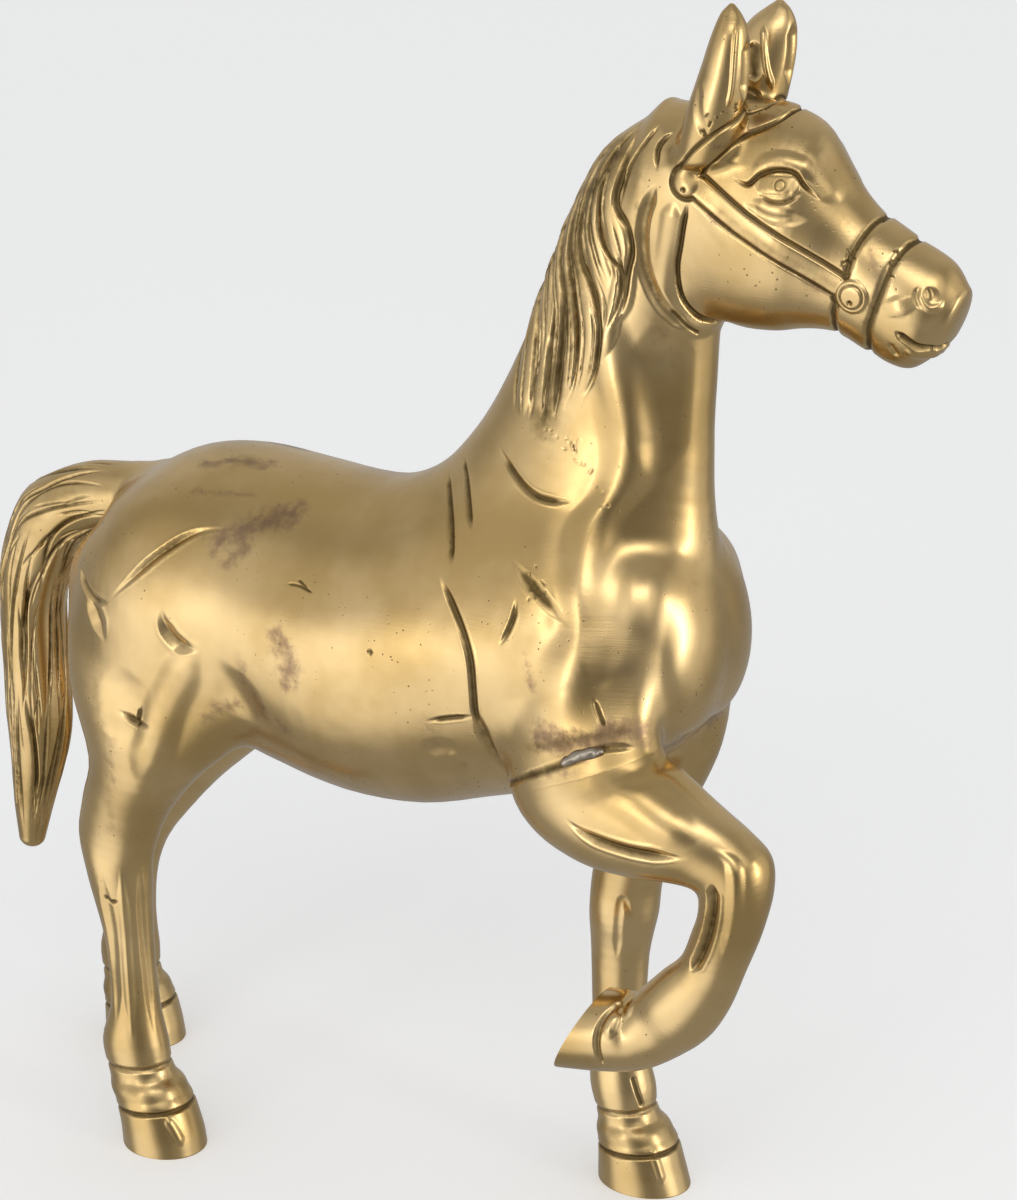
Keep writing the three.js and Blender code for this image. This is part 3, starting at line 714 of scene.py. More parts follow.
@dataclass
class Mark:
    """A line, dent or raised band worked into the skin, seen from the side.

    The path's points are x, y and z on the horse's left, or x and z alone. The width is half the
    mark's, the depth is negative where it stands proud, and the halo says how far the dirt reaches.
    """

    path: Sequence[Sequence[float]]
    width: float
    depth: float
    side: Side = Side.BOTH
    cut: Cut = Cut.SOFT
    grime: float = 0.8
    taper: float = 0.25
    halo: float = 1.6
    stain: bool = False
    lines: list[Array] = field(default_factory=list)

    @property
    def edged(self) -> bool:
        """Tells whether the mark stands proud with a cut line round it."""
        return self.cut is Cut.STRAP or (self.cut is Cut.KNOB and self.depth < 0)

    def start(self, point: Sequence[float], side: int) -> tuple[float, float, float, bool]:
        """Gives where a point of the path starts.

        Args:
            point: The point as it is given.
            side: The sign of Y.

        Returns:
            Its x, y and z in mm, and whether it has yet to come in from the side.
        """
        if len(point) == 3:
            return point[0], point[1] * side, point[2], False
        return point[0], SIDE_START * side, point[1], True

    def height(self, points: Array) -> tuple[Array, Array, Array]:
        """Gives how far the mark moves the skin in or out at each point, and the grime it holds.

        Args:
            points: Points on the skin in mm.

        Returns:
            How much it raises and how much it sinks the skin, and the grime from 0 to 1.
        """
        up, down, grime = (np.zeros(len(points), np.float32) for _ in range(3))
        reach = self.width * max(1.9, self.halo)
        for line in self.lines:
            near = near_line(points, line, reach)
            if not len(near):
                continue
            spot = points[near]
            if len(line) == 1:
                far, along = np.linalg.norm(spot - line[0], axis=1), np.full(len(near), 0.5)
            else:
                far, along = path_distance(spot, line)
            ends = np.clip(np.minimum(along, 1 - along) / max(self.taper, 1e-3), 0, 1)
            ends = ends * ends * (3 - 2 * ends)
            width = self.width * (0.35 + 0.65 * ends) if self.taper else self.width
            shape = cut_shape(self.cut, far / width) * (ends if self.taper else 1.0)
            up[near] = np.maximum(up[near], -self.depth * shape)
            down[near] = np.minimum(down[near], -self.depth * shape)
            if self.edged:
                dirt = np.exp(-((far / width - 1.17) / 0.2) ** 2) * self.grime
            else:
                dirt = np.clip(1 - far / (width * self.halo), 0, 1) ** 1.3 * self.grime
            grime[near] = np.maximum(grime[near], dirt * (ends if self.taper else 1.0))
        return up, down, grime


def path_distance(points: Array, line: Array) -> tuple[Array, Array]:
    """Gives the distance of each point from a path, and the share of the path's length there.

    Args:
        points: Points in mm.
        line: The path's points.

    Returns:
        The distances and the shares.
    """
    start, run = line[:-1], line[1:] - line[:-1]
    length = np.linalg.norm(run, axis=1)
    total = max(length.sum(), 1e-6)
    before = np.concatenate([[0], np.cumsum(length)[:-1]])
    far = np.full(len(points), np.inf, np.float32)
    along = np.zeros(len(points), np.float32)
    for a, way, size, done in zip(start, run, length, before):
        share = np.clip((points - a) @ way / max(size * size, 1e-9), 0, 1)
        gap = np.linalg.norm(points - a - share[:, None] * way, axis=1)
        closer = gap < far
        far = np.where(closer, gap, far)
        along = np.where(closer, (done + share * size) / total, along)
    return far, along


@dataclass
class Relief:
    """All the marks worked into the skin."""

    marks: list[Mark]

    def lift(self, distance: Field) -> None:
        """Lays the path of every mark onto the skin, all at once.

        Args:
            distance: The field of the whole horse.
        """
        runs = [(mark, side) for mark in self.marks for side in mark.side.value]
        rows = [mark.start(point, side) for mark, side in runs for point in mark.path]
        points = np.array([row[:3] for row in rows], np.float32)
        coming = np.array([row[3] for row in rows])
        side = np.sign(points[:, 1])
        for _ in range(MOVES):
            level = measure(distance, points)
            points[:, 1] -= np.where(coming, side * np.clip(level * MOVE_SHARE, 0.0, LONGEST_MOVE), 0.0)
        missed = coming & (points[:, 1] * side < 1.0)
        points[missed, 1] = side[missed]
        points = settled(distance, points, 3.0, 4)
        done = 0
        for mark, _ in runs:
            line = points[done:done + len(mark.path)]
            done += len(mark.path)
            if len(line) > 1:
                line = smooth_row(line.astype(float), 6)
            mark.lines.append(line.astype(np.float32))

    def fine_places(self, points: Array) -> Array:
        """Finds where the mesh has to be finer.

        Args:
            points: Points on the skin in mm.

        Returns:
            Whether each point lies near a narrow mark.
        """
        near = np.zeros(len(points), bool)
        for mark in self.marks:
            if mark.width > NARROW:
                continue
            reach = mark.width * 2 + 0.6
            for line in mark.lines:
                spot = near_line(points, line, reach)
                if len(spot) and len(line) > 1:
                    far, _ = path_distance(points[spot], line)
                    near[spot[far < reach]] = True
                elif len(spot):
                    near[spot] = True
        return near

    def height(self, points: Array) -> tuple[Array, Array, Array]:
        """Adds up what all the marks do at each point.

        Args:
            points: Points on the skin in mm.

        Returns:
            The heights, negative inward, and the grime and the stain from 0 to 1.
        """
        height, grime, stain, raised, sunk, rim = (np.zeros(len(points), np.float32) for _ in range(6))
        for mark in self.marks:
            up, down, dirt = mark.height(points)
            if mark.stain:
                stain = np.maximum(stain, dirt)
                continue
            if mark.edged:
                raised, sunk = np.maximum(raised, up), np.minimum(sunk, down)
                rim = np.maximum(rim, dirt)
            else:
                height += up + down
                grime = np.maximum(grime, dirt)
        clear = np.clip(1 - raised / 0.25, 0, 1)
        return height + raised + sunk * clear, np.maximum(grime, rim * clear), stain


# The swells left by hand filing: the length of each kind and its height, in mm
SWELLS = ((34.0, 0.05), (21.0, 0.035), (12.0, 0.018), (7.0, 0.01))


def hand_finish(points: Array) -> Array:
    """Gives the slight unevenness of a surface filed and polished by hand.

    Args:
        points: Points on the skin in mm.

    Returns:
        The heights in mm.
    """
    chance = np.random.default_rng(7)
    height = np.zeros(len(points), np.float32)
    for length, amount in SWELLS:
        for _ in range(4):
            way = chance.normal(size=3)
            way *= 2 * math.pi / length / np.linalg.norm(way)
            height += amount * np.sin(points @ way + chance.uniform(0, 6.28)) / 2
    return height


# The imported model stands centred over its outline. This moves the sculptor's frame to its frame.
TO_FRAME = Vector((21.0, 2.4, 0.0))
Face = tuple[Array, Array]


def sculpted(distance: Field, relief: Relief, low: Sequence[float], high: Sequence[float],
             step: float) -> bmesh.types.BMesh:
    """Makes a carved skin inside a box, in the sculptor's millimetres.

    Args:
        distance: The field of the form.
        relief: The marks to work in.
        low: The box's lowest corner.
        high: Its highest corner.
        step: Spacing of the mesh, halved near narrow marks.

    Returns:
        The mesh, with its grime and its stain on each point.
    """
    points, faces = skin_of(distance, low, high, step)
    mesh = bpy.data.meshes.new("skin")
    mesh.from_pydata(points, [], faces)
    work = bmesh.new()
    work.from_mesh(mesh)
    near = relief.fine_places(points).tolist()
    edges = [e for e in work.edges if near[e.verts[0].index] and near[e.verts[1].index]]
    if edges:
        bmesh.ops.subdivide_edges(work, edges=edges, cuts=1, use_grid_fill=True)
        work.to_mesh(mesh)
    work.free()
    flat = np.empty(3 * len(mesh.vertices), np.float32)
    mesh.vertices.foreach_get("co", flat)
    points = settled(distance, flat.reshape(-1, 3), step, 1)
    _, way, _ = slopes(distance, points)
    height, grime, stain = relief.height(points)
    points = points + way * (height + hand_finish(points))[:, None]
    mesh.vertices.foreach_set("co", points.astype(np.float32).ravel())
    for name, values in (("grime", grime), ("stain", stain)):
        mesh.attributes.new(name, "FLOAT", "POINT").data.foreach_set("value", values.astype(np.float32))
    work = bmesh.new()
    work.from_mesh(mesh)
    bpy.data.meshes.remove(mesh)
    return work


# A point counts as lying on a cut if it is this near to it, and a cut with a reach leaves alone what
# lies further behind it than this, both in mm
ON_THE_CUT = 1e-2
BEHIND_THE_CUT = -4.0


def cut_away(work: bmesh.types.BMesh, face: Face, reach: float | None = None) -> None:
    """Cuts off what lies beyond a flat face and closes the cut.

    Args:
        work: The mesh.
        face: A point on the face and the direction of what goes.
        reach: Only what lies this near to the point is cut, in mm. Everything is, without it.
    """
    point, normal = Vector(face[0]), Vector(face[1])
    faces = work.faces[:]
    if reach is not None:
        faces = [f for f in faces if (f.verts[0].co - point).length < reach
                 and (f.verts[0].co - point).dot(normal) > BEHIND_THE_CUT]
    edges = dict.fromkeys(e for f in faces for e in f.edges)
    verts = dict.fromkeys(v for f in faces for v in f.verts)
    bmesh.ops.bisect_plane(work, geom=[*faces, *edges, *verts], dist=1e-4, plane_co=point,
                           plane_no=normal, clear_outer=True)
    rim = [e for e in work.edges if e.is_boundary
           and all(abs((v.co - point).dot(normal)) < ON_THE_CUT for v in e.verts)]
    if reach is not None:
        rim = [e for e in rim if (e.verts[0].co - point).length < reach]
    filled = bmesh.ops.triangle_fill(work, edges=rim, use_beauty=True, use_dissolve=False, normal=normal)
    for made in filled["geom"]:
        if isinstance(made, bmesh.types.BMFace):
            made.smooth = False
            if made.normal.dot(normal) < 0:
                made.normal_flip()
    for edge in rim:
        edge.smooth = False


def finished_piece(work: bmesh.types.BMesh, name: str, node: str,
                   finish: bpy.types.Material) -> bpy.types.Object:
    """Turns a worked mesh into a piece that stands for a packed casting.

    Args:
        work: The mesh in the sculptor's millimetres, freed afterwards.
        name: The piece's name.
        node: The casting that it replaces.
        finish: Its material.

    Returns:
        The piece.
    """
    for f in work.faces:
        if all(e.smooth for e in f.edges):
            f.smooth = True
    for v in work.verts:
        v.co = (v.co + TO_FRAME) * MM
    mesh = bpy.data.meshes.new(name)
    work.to_mesh(mesh)
    work.free()
    mesh.materials.append(finish)
    piece = bpy.data.objects.new(name, mesh)
    bpy.context.scene.collection.objects.link(piece)
    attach(piece, "root")
    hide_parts(node)
    LOG.info("%s: %d faces", name, len(mesh.polygons))
    return piece


def joint_face(row: Sequence[float], sign: int) -> Face:
    """Gives the flat face through a section, which goes across the horse.

    Args:
        row: The section.
        sign: 1 for the direction 90 degrees on from the profile line, -1 for the other.

    Returns:
        A point on the face and its direction.
    """
    x0, z0, x1, z1, _, y = row
    normal = np.array([z1 - z0, 0.0, x0 - x1]) * sign
    return np.array([(x0 + x1) / 2, y, (z0 + z1) / 2]), normal / np.linalg.norm(normal)


# Past its joint each skin dives under the other's: the body's share is drawn in by so much at its
# next two sections, and the limb's sinks by this share of the way, and ends after so much, in mm
DRAWN_IN = (1.0, 3.0)
SINKING = 0.3
OVERLAP = 4.0
# How far the raised leg's casting reaches up into the fillet, as a share of the fillet
FILLET_SHARE = 0.7


def eased(row: Sequence[float], amount: float) -> list[float]:
    """Draws a section in on all sides, so that it dives under the skin of the piece that it meets.

    Args:
        row: The section.
        amount: How far it is drawn in, in mm.

    Returns:
        The smaller section.
    """
    x0, z0, x1, z1, half, y = row
    share = amount / math.hypot(x1 - x0, z1 - z0)
    x, z = (x1 - x0) * share, (z1 - z0) * share
    return [x0 + x, z0 + z, x1 - x, z1 - z, half - amount, y]


def stub(rows: Rows, first: int, joint: int, root: float) -> Form:
    """Gives the body's share of a limb, which dives under the limb's skin past the joint.

    Args:
        rows: The limb's sections.
        first: The first section that is used.
        joint: The section on which the joint face lies.
        root: Length of the rounded root, as a share of its half width.

    Returns:
        The short form.
    """
    drawn = [eased(row, amount) for row, amount in zip(rows[joint + 1:], DRAWN_IN)]
    return Loft([*rows[first:joint + 1], *drawn], root=root)


def limb_field(skin: Field, face: Face) -> Field:
    """Gives a limb's casting, which dives under the body's skin past its joint face.

    Args:
        skin: The field of the limb.
        face: Its joint face, facing into the body.

    Returns:
        The field of the casting.
    """
    point, normal = (np.array(part, np.float32) for part in face)

    def distance(points: Array) -> Array:
        """Gives the distance of points from the casting."""
        past = (points - point) @ normal
        return np.maximum(skin(points) + SINKING * np.maximum(past, 0.0), past - OVERLAP)

    return distance


def raised_leg_field() -> Field:
    """Gives the raised leg's casting with its share of the fillet in the crease.

    Returns:
        The field of the casting.
    """
    leg = Loft(RIGHT_FORE[1:], root=FORE_ROOT)
    whole = blended([*horse_forms(), (leg, RAISED_FILLET)])
    reach = FILLET_SHARE * RAISED_FILLET
    return limb_field(lambda points: np.maximum(whole(points), leg.distance(points) - reach),
                      joint_face(RIGHT_FORE[RAISED_JOINT], 1))


def tail_field() -> Field:
    """Gives the tail's casting."""
    return limb_field(Loft(TAIL, tip=TAIL_TIP).distance, joint_face(TAIL[TAIL_JOINT], -1))


@dataclass
class BodyHalves:
    """The hollow body and neck, cast in a right and a left half."""

    finish: bpy.types.Material
    relief: Relief
    step: float = 0.7
    low: tuple[float, float, float] = (-124.0, -44.0, 94.0)
    high: tuple[float, float, float] = (64.0, 44.0, 302.0)
    limb_reach: float = 36.0

    def build(self) -> None:
        """Sculpts the body once and parts it on the middle plane."""
        body = blended([*horse_forms(), (stub(RIGHT_FORE, 1, RAISED_JOINT, FORE_ROOT), RAISED_FILLET),
                        (stub(TAIL, 0, TAIL_JOINT, TAIL_ROOT), TAIL_FILLET)])
        work = sculpted(body, self.relief, self.low, self.high, self.step)
        cut_away(work, joint_face(HEAD_JOINT, -1))
        for rows in STANDING:
            cut_away(work, joint_face(rows[LEG_JOINT], -1), self.limb_reach)
        other = work.copy()
        middle = np.zeros(3)
        cut_away(work, (middle, np.array([0.0, 1.0, 0.0])))
        finished_piece(work, "body_right", "body_right_half", self.finish)
        cut_away(other, (middle, np.array([0.0, -1.0, 0.0])))
        finished_piece(other, "body_left", "body_left_half", self.finish)


@dataclass
class Head:
    """The head with its ears and its cast bridle."""

    finish: bpy.types.Material
    relief: Relief
    step: float = 0.5
    low: tuple[float, float, float] = (28.0, -20.0, 238.0)
    high: tuple[float, float, float] = (124.0, 20.0, 326.0)

    def build(self) -> None:
        """Sculpts the head and parts it from the neck."""
        work = sculpted(blended(horse_forms()), self.relief, self.low, self.high, self.step)
        cut_away(work, joint_face(HEAD_JOINT, 1))
        finished_piece(work, "head_with_bridle", "head", self.finish)


@dataclass
class StandingLeg:
    """A leg that stands on the floor, with its hoof."""

    name: str
    node: str
    rows: Rows
    finish: bpy.types.Material
    relief: Relief
    step: float = 0.6

    def build(self) -> None:
        """Sculpts the leg, parts it from the body and cuts its sole flat."""
        below = np.array(self.rows[LEG_JOINT - 1:])
        ends = below[:, :4]
        low = (ends[:, 0::2].min() - 4, (below[:, 5] - below[:, 4]).min() - 3, -2.4)
        top = max(below[1, 1], below[1, 3]) + 3
        high = (ends[:, 0::2].max() + 4, (below[:, 5] + below[:, 4]).max() + 3, top)
        work = sculpted(blended(horse_forms()), self.relief, low, high, self.step)
        cut_away(work, joint_face(self.rows[LEG_JOINT], 1))
        cut_away(work, (np.zeros(3), np.array([0.0, 0.0, -1.0])))
        finished_piece(work, self.name, self.node, self.finish)


@dataclass
class RaisedLeg:
    """The right foreleg, lifted and folded at the knee."""

    finish: bpy.types.Material
    relief: Relief
    step: float = 0.6
    low: tuple[float, float, float] = (8.0, -46.0, 54.0)
    high: tuple[float, float, float] = (94.0, -10.0, 156.0)
    sole_reach: float = 24.0

    def build(self) -> None:
        """Sculpts the leg and cuts the sole of its hoof flat."""
        work = sculpted(raised_leg_field(), self.relief, self.low, self.high, self.step)
        cut_away(work, joint_face(RIGHT_FORE[-1], -1), self.sole_reach)
        finished_piece(work, "raised_foreleg", "right_foreleg", self.finish)


@dataclass
class Tail:
    """The carved tail."""

    finish: bpy.types.Material
    relief: Relief
    step: float = 0.55
    low: tuple[float, float, float] = (-165.0, -13.0, 62.0)
    high: tuple[float, float, float] = (-113.0, 13.0, 190.0)

    def build(self) -> None:
        """Sculpts the tail with its strands."""
        work = sculpted(tail_field(), self.relief, self.low, self.high, self.step)
        finished_piece(work, "carved_tail", "tail", self.finish)


Path = Sequence[Sequence[float]]


def chiselled(path: Path, width: float, depth: float, side: Side = Side.BOTH, grime: float = 0.8,
              taper: float = 0.25) -> Mark:
    """Gives a line cut with a chisel."""
    return Mark(path, width, depth, side, Cut.GASH, grime, taper)


def swell(path: Path, width: float, rise: float, side: Side = Side.BOTH, taper: float = 0.25) -> Mark:
    """Gives a clean soft swell, or a hollow where the rise is negative."""
    return Mark(path, width, -rise, side, grime=0.0, taper=taper)


def wash(path: Path, width: float, grime: float, side: Side = Side.BOTH) -> Mark:
    """Gives a patch of thin dirt, which changes no shape."""
    return Mark(path, width, 0.0, side, grime=grime, taper=0.0, halo=1.0)


def body_marks() -> list[Mark]:
    """Gives the cuts and swells of the trunk, the neck and the haunches.

    Returns:
        The marks.
    """
    right = Side.RIGHT
    marks = [
        # The groove in front of the shoulder, the throat and the breast
        swell([(40, 15.4, 203), (38.8, 19.4, 193.4), (40, 23, 186.7), (41.4, 25.6, 180.7),
               (42.2, 27.6, 174.5), (42.4, 29.8, 168.4), (42.6, 31.8, 161.6)], 6.5, -0.55),
        swell([(47.4, 11, 250), (47.6, 10.8, 236), (47.4, 11, 222), (45.6, 12, 210)], 8.0, -0.9),
        swell([(49, 197), (52, 188), (52, 176), (49, 166)], 7, 0.6, Side.LEFT),
        # Armpit, flank, thigh and barrel
        Mark([(9.8, 153), (10.8, 145), (13.2, 137), (16.5, 129.5)], 2.4, 1.1, grime=0.6, taper=0.3),
        swell([(-67, 152), (-62, 145), (-57, 139), (-50, 133.5)], 8, -1.0, taper=0.45),
        swell([(-70, 156), (-75, 147), (-81.2, 136), (-86, 123), (-91.5, 108)], 7, 1.3),
        swell([(-95, 144), (-94, 132), (-95, 120)], 9, -0.6),
        # Chiselled lines
        chiselled([(-11.5, 9.7, 202.9), (-7, 16.8, 197.9), (-3.4, 22, 192.4), (-0.2, 27.2, 184.6)], 1.1,
                  0.8, taper=0.18),
        chiselled([(-7.7, 8.9, 207.4), (-3.5, 14.6, 203), (2.6, 22.4, 193)], 1.0, 0.75, taper=0.2),
        chiselled([(5.2, 13.6, 212.7), (9.9, 16.4, 208.7), (16, 18.4, 204.7), (21.8, 18.9, 203.3),
                   (28.6, 18.4, 203.8)], 1.15, 0.8),
        chiselled([(-4.2, 27.4, 183.6), (0.4, 29.8, 178.7), (5.7, 32.2, 171.5), (8.6, 33.4, 164.7),
                   (9.4, 33.5, 157.2), (9.6, 33.4, 150), (10.4, 32.6, 143)], 1.2, 0.9, grime=1.0,
                  taper=0.2),
        chiselled([(19.2, 29.7, 181.9), (19.4, 31, 177.5), (18.1, 32, 173.2), (16, 32.7, 169)], 0.9, 0.7,
                  taper=0.35),
        chiselled([(14.8, 25.5, 190.7), (20.1, 27.8, 186.8), (25.4, 29.1, 183.1), (30, 29.5, 179.5),
                   (34, 29.4, 176.4)], 1.9, 0.7, grime=1.0, taper=0.45),
        chiselled([(-4.7, 145.9), (1.9, 148), (9.7, 150.1)], 0.9, 0.7, grime=1.0, taper=0.35),
        chiselled([(-98.5, 160.8), (-91.5, 167.9), (-83.4, 175.6), (-75, 181.2), (-66, 183.2)], 1.5, 1.0,
                  grime=0.6, taper=0.4),
        chiselled([(-113, 166), (-109.5, 162), (-104.5, 159.4), (-99, 159.8)], 1.5, 0.9, grime=0.6),
        chiselled([(-108, 161), (-104, 155.5), (-100.4, 149)], 3.2, 0.9, grime=0.35, taper=0.4),
        chiselled([(-81.6, 162.5), (-80.4, 157.6), (-76.6, 153.6), (-70, 152.6)], 2.6, 1.2, grime=0.55,
                  taper=0.4),
        chiselled([(-97.4, 131.3), (-90.4, 129.2), (-85.2, 128.8)], 1.5, 0.9, grime=0.9, taper=0.45),
        chiselled([(-89, 134), (-89.8, 130.5), (-90.2, 127)], 0.9, 0.6, right, grime=1.0),
        chiselled([(41.7, 31.9, 161.2), (44, 32.9, 157.4), (46, 33.6, 154.3)], 0.8, 0.55, right, grime=1.0),
        Mark([(-46.4, 173.8), (-41.6, 173.9), (-36.6, 172.8)], 0.5, 0.25, right, grime=1.0),
        Mark([(-43, 175.5), (-39, 173.6)], 0.5, 0.2, right, grime=1.0),
        Mark([(-18.7, 162.2)], 0.8, 0.35, right, cut=Cut.KNOB, grime=1.0),
        Mark([(-6.6, 136.5), (-1.5, 139), (3, 138)], 3.5, 0.3, right, grime=0.2),
        # Dirt that has dulled the breast over the raised leg
        wash([(26, 146), (38, 151), (50, 154)], 8, 0.5, right),
        wash([(-106, 150), (-104, 135), (-101, 118), (-102, 96)], 11, 0.36, right),
        # The crease between the breast and the raised leg
        Mark([(11.5, 128.2), (21, 136), (31.3, 142.3), (38.3, 146), (46, 150), (54.7, 150.5)], 1.3, 0.5,
             right, grime=0.8, taper=0.1),
    ]
    weld = ((19, 15, 219.7), (24, 15.8, 217.7), (28.8, 16.1, 214.8), (33.3, 16.2, 209.9), (37.7, 16.4, 202.7))
    return [*marks, *pits_along(weld, 22, 0.7, 0.3),
            *pits_along(((16, 26, 190), (22, 28, 186), (27, 29.5, 182)), 12, 1.8, 0.8)]


def pits_along(path: Path, count: int, spread: float, grime: float = 0.9) -> list[Mark]:
    """Gives small pits and specks strewn along a line.

    Args:
        path: The line, on the horse's left as the other marks.
        count: How many there are.
        spread: How far off the line they lie, in mm.
        grime: The dirt that they hold.

    Returns:
        The marks.
    """
    chance = np.random.default_rng(count)
    line = smooth_row(np.array(path, float), 8)
    marks = []
    for _ in range(count):
        x, y, z = line[chance.integers(len(line))] + chance.normal(0, spread, 3) * (1, 0.1, 1)
        run = chance.normal(0, 0.5, 2)
        marks.append(Mark([(x, y, z), (x + run[0], y, z + run[1])], chance.uniform(0.3, 0.5),
                          chance.choice((0.22, 0.15, -0.15)), Side.RIGHT, grime=grime, taper=0.0))
    return marks


# Where the brass has tarnished: the middle line of each patch, its half width in mm and its strength
TARNISH = (
    (((-68, 180), (-60, 184), (-52, 188)), 9, 0.95),
    (((-64, 176), (-60, 180)), 5, 0.7),
    (((-46, 160), (-42, 156), (-43, 150)), 7, 0.75),
    (((-84, 12, 195), (-74, 9, 196), (-66, 8, 196)), 5, 0.8),
    (((-58, 150), (-54, 142), (-46, 136)), 7, 0.55),
    (((-82, 189), (-64, 190)), 3, 0.55),
    (((30, 150), (38, 149.5), (46, 153), (53, 154)), 7.5, 1.0),
    (((28, 140), (40, 144)), 4, 0.6),
    (((50, 14, 142), (54, 8, 146)), 7, 0.6),
    (((-70, 133), (-64, 138), (-56, 136)), 7, 0.6),
    (((45, 256), (47, 246), (50, 238)), 7, 0.45),
    (((-4, 146), (-2, 138), (4, 134)), 6, 0.4),
    (((62, 14, 292), (67, 9.6, 295), (72, 4, 297.6)), 3.4, 0.6),
    (((60, 13, 276), (76, 13, 268), (89, 10, 260)), 3.4, 0.55),
    (((98, 8, 271), (100, 9, 262), (97, 8, 252)), 4, 0.45),
    (((66, 12, 286), (72, 12, 289)), 4, 0.4),
    (((24, 168), (26, 160)), 4, 0.5),
    (((60, 200), (58, 180)), 6, 0.35),
    (((-98, 122), (-100, 110)), 5, 0.4),
)
# Thin dirt on the head and between the ears, given in the same way
HEAD_DIRT = (
    (((59, 0.5, 300), (66, 0.5, 300)), 5.5, 0.75),
    (((66, 10, 292), (76, 8, 294), (86, 7, 287)), 9, 0.4),
    (((86, 9, 284), (93, 8, 276), (99, 8, 270)), 8, 0.36),
    (((58, 12, 300), (60, 14, 308)), 8, 0.4),
    (((107, 8, 262), (110, 7, 254)), 7, 0.36),
    (((42, 12, 290), (42, 12, 276), (44, 12, 262)), 8, 0.42),
    (((52, 14, 283), (48, 14, 290)), 6, 0.5),
    (((60, 13, 279), (76, 13, 270), (90, 10, 263)), 4.5, 0.4),
)


def stain_marks() -> list[Mark]:
    """Gives the places where the brass has tarnished reddish brown."""
    return [Mark(path, width, 0.0, grime=strength, taper=0.0, halo=1.0, stain=True)
            for path, width, strength in TARNISH]


def hoof_marks(rows: Rows) -> list[Mark]:
    """Gives the cut over a hoof, the swell of the pastern and the groove above it.

    Args:
        rows: The leg's sections.

    Returns:
        The marks, with thin dirt round them.
    """
    leg, left = Loft(rows), Side.LEFT
    cut, pastern, groove = ([leg.spot(len(rows) - 1 - up, math.tau * n / 12) for n in range(13)]
                            for up in (1.8, 2.5, 3.3))
    return [Mark(cut, 1.0, 0.7, left, grime=0.9, taper=0.0), wash(pastern[::3], 17.0, 0.4, left),
            swell(pastern, 3.0, 0.45, left, taper=0.0), Mark(groove, 1.3, 0.5, left, grime=0.6, taper=0.0)]


def leg_marks() -> list[Mark]:
    """Gives the cuts and swells of the legs and the hoofs.

    Returns:
        The marks.
    """
    right, left = Side.RIGHT, Side.LEFT
    marks = [
        # Raised leg
        chiselled([(38.5, 132.6), (45.2, 129.7), (55.8, 128.4), (64.6, 128.6), (71.5, 129)], 1.8, 1.4,
                  right, taper=0.3),
        chiselled([(77, 123.4), (76.6, 115), (73.8, 105), (70, 97)], 2.0, 1.6, right, grime=0.7,
                  taper=0.12),
        swell([(76, 132), (81.4, 128.4), (82.6, 120), (81.6, 112), (78.6, 102)], 2.6, 0.6, right),
        swell([(44, 143.5), (55.4, 140.4), (64, 136.8), (73.4, 133.4)], 6.5, 0.8, right),
        Mark([(49.6, 82), (46.8, 78.5), (46.2, 73), (47.2, 66)], 1.2, 0.8, right, grime=0.7, taper=0.1),
        swell([(54, 84), (49.5, 79), (48.8, 74)], 2.4, 0.7, right),
        # Near hind leg
        swell([(-101.4, 84), (-101.2, 68), (-101, 52), (-100, 32)], 2.0, 0.6, right),
        Mark([(-107, 82), (-105.5, 66), (-105.4, 50), (-105, 36)], 2.6, 0.6, right, grime=0.15),
        Mark([(-97.6, 27.5, 84), (-97.6, 27, 66), (-97, 26.5, 50), (-95, 27, 32)], 1.8, 0.45, right,
             grime=0.3),
        Mark([(-107, 74.5), (-104.4, 73), (-102.4, 73.8)], 0.9, 0.45, right, grime=0.9),
        swell([(-89.8, 12.4), (-87.3, 8.3), (-85.2, 3.3)], 1.8, 0.5, right),
        # Off hind leg and off foreleg
        Mark([(-138, 84), (-139, 70), (-140, 52), (-140, 34)], 2.2, 0.5, left, grime=0.2),
        Mark([(25, 84), (23, 66), (21, 48), (21, 34)], 2.4, 0.5, left, grime=0.2),
        Mark([(27.6, 18, 33), (28.6, 18.6, 28.5), (30, 19.4, 23.8)], 0.9, 0.6, left, grime=1.0, taper=0.1),
        swell([(34, 16.9, 13.6), (36, 16.7, 9.4), (37.7, 17, 3.6)], 1.7, 0.5, left),
        Mark([(30, 14, 78), (25, 15, 84.6), (22.8, 17, 66.5)], 1.6, 0.3, left, grime=0.1),
    ]
    for rows in STANDING:
        marks += hoof_marks(rows)
    return marks


def strap(path: Path, half: float, rise: float = 0.6, grime: float = 0.9) -> Mark:
    """Gives a raised strap of the bridle with a cut line along each edge."""
    return Mark(path, half, -rise, cut=Cut.STRAP, grime=grime, taper=0.0, halo=1.5)


def ring_mark(at: Sequence[float], radius: float, width: float, depth: float) -> Mark:
    """Gives a thin ring cut round a point on the side of the head.

    Args:
        at: The point's x and z.
        radius: The ring's radius in mm.
        width: Half the width of the cut.
        depth: The depth of the cut.

    Returns:
        The mark.
    """
    x, z = at
    ring = [(x + radius * math.cos(t), z + radius * math.sin(t)) for t in np.linspace(0, math.tau, 15)]
    return Mark(ring, width, depth, grime=0.7, taper=0.0)


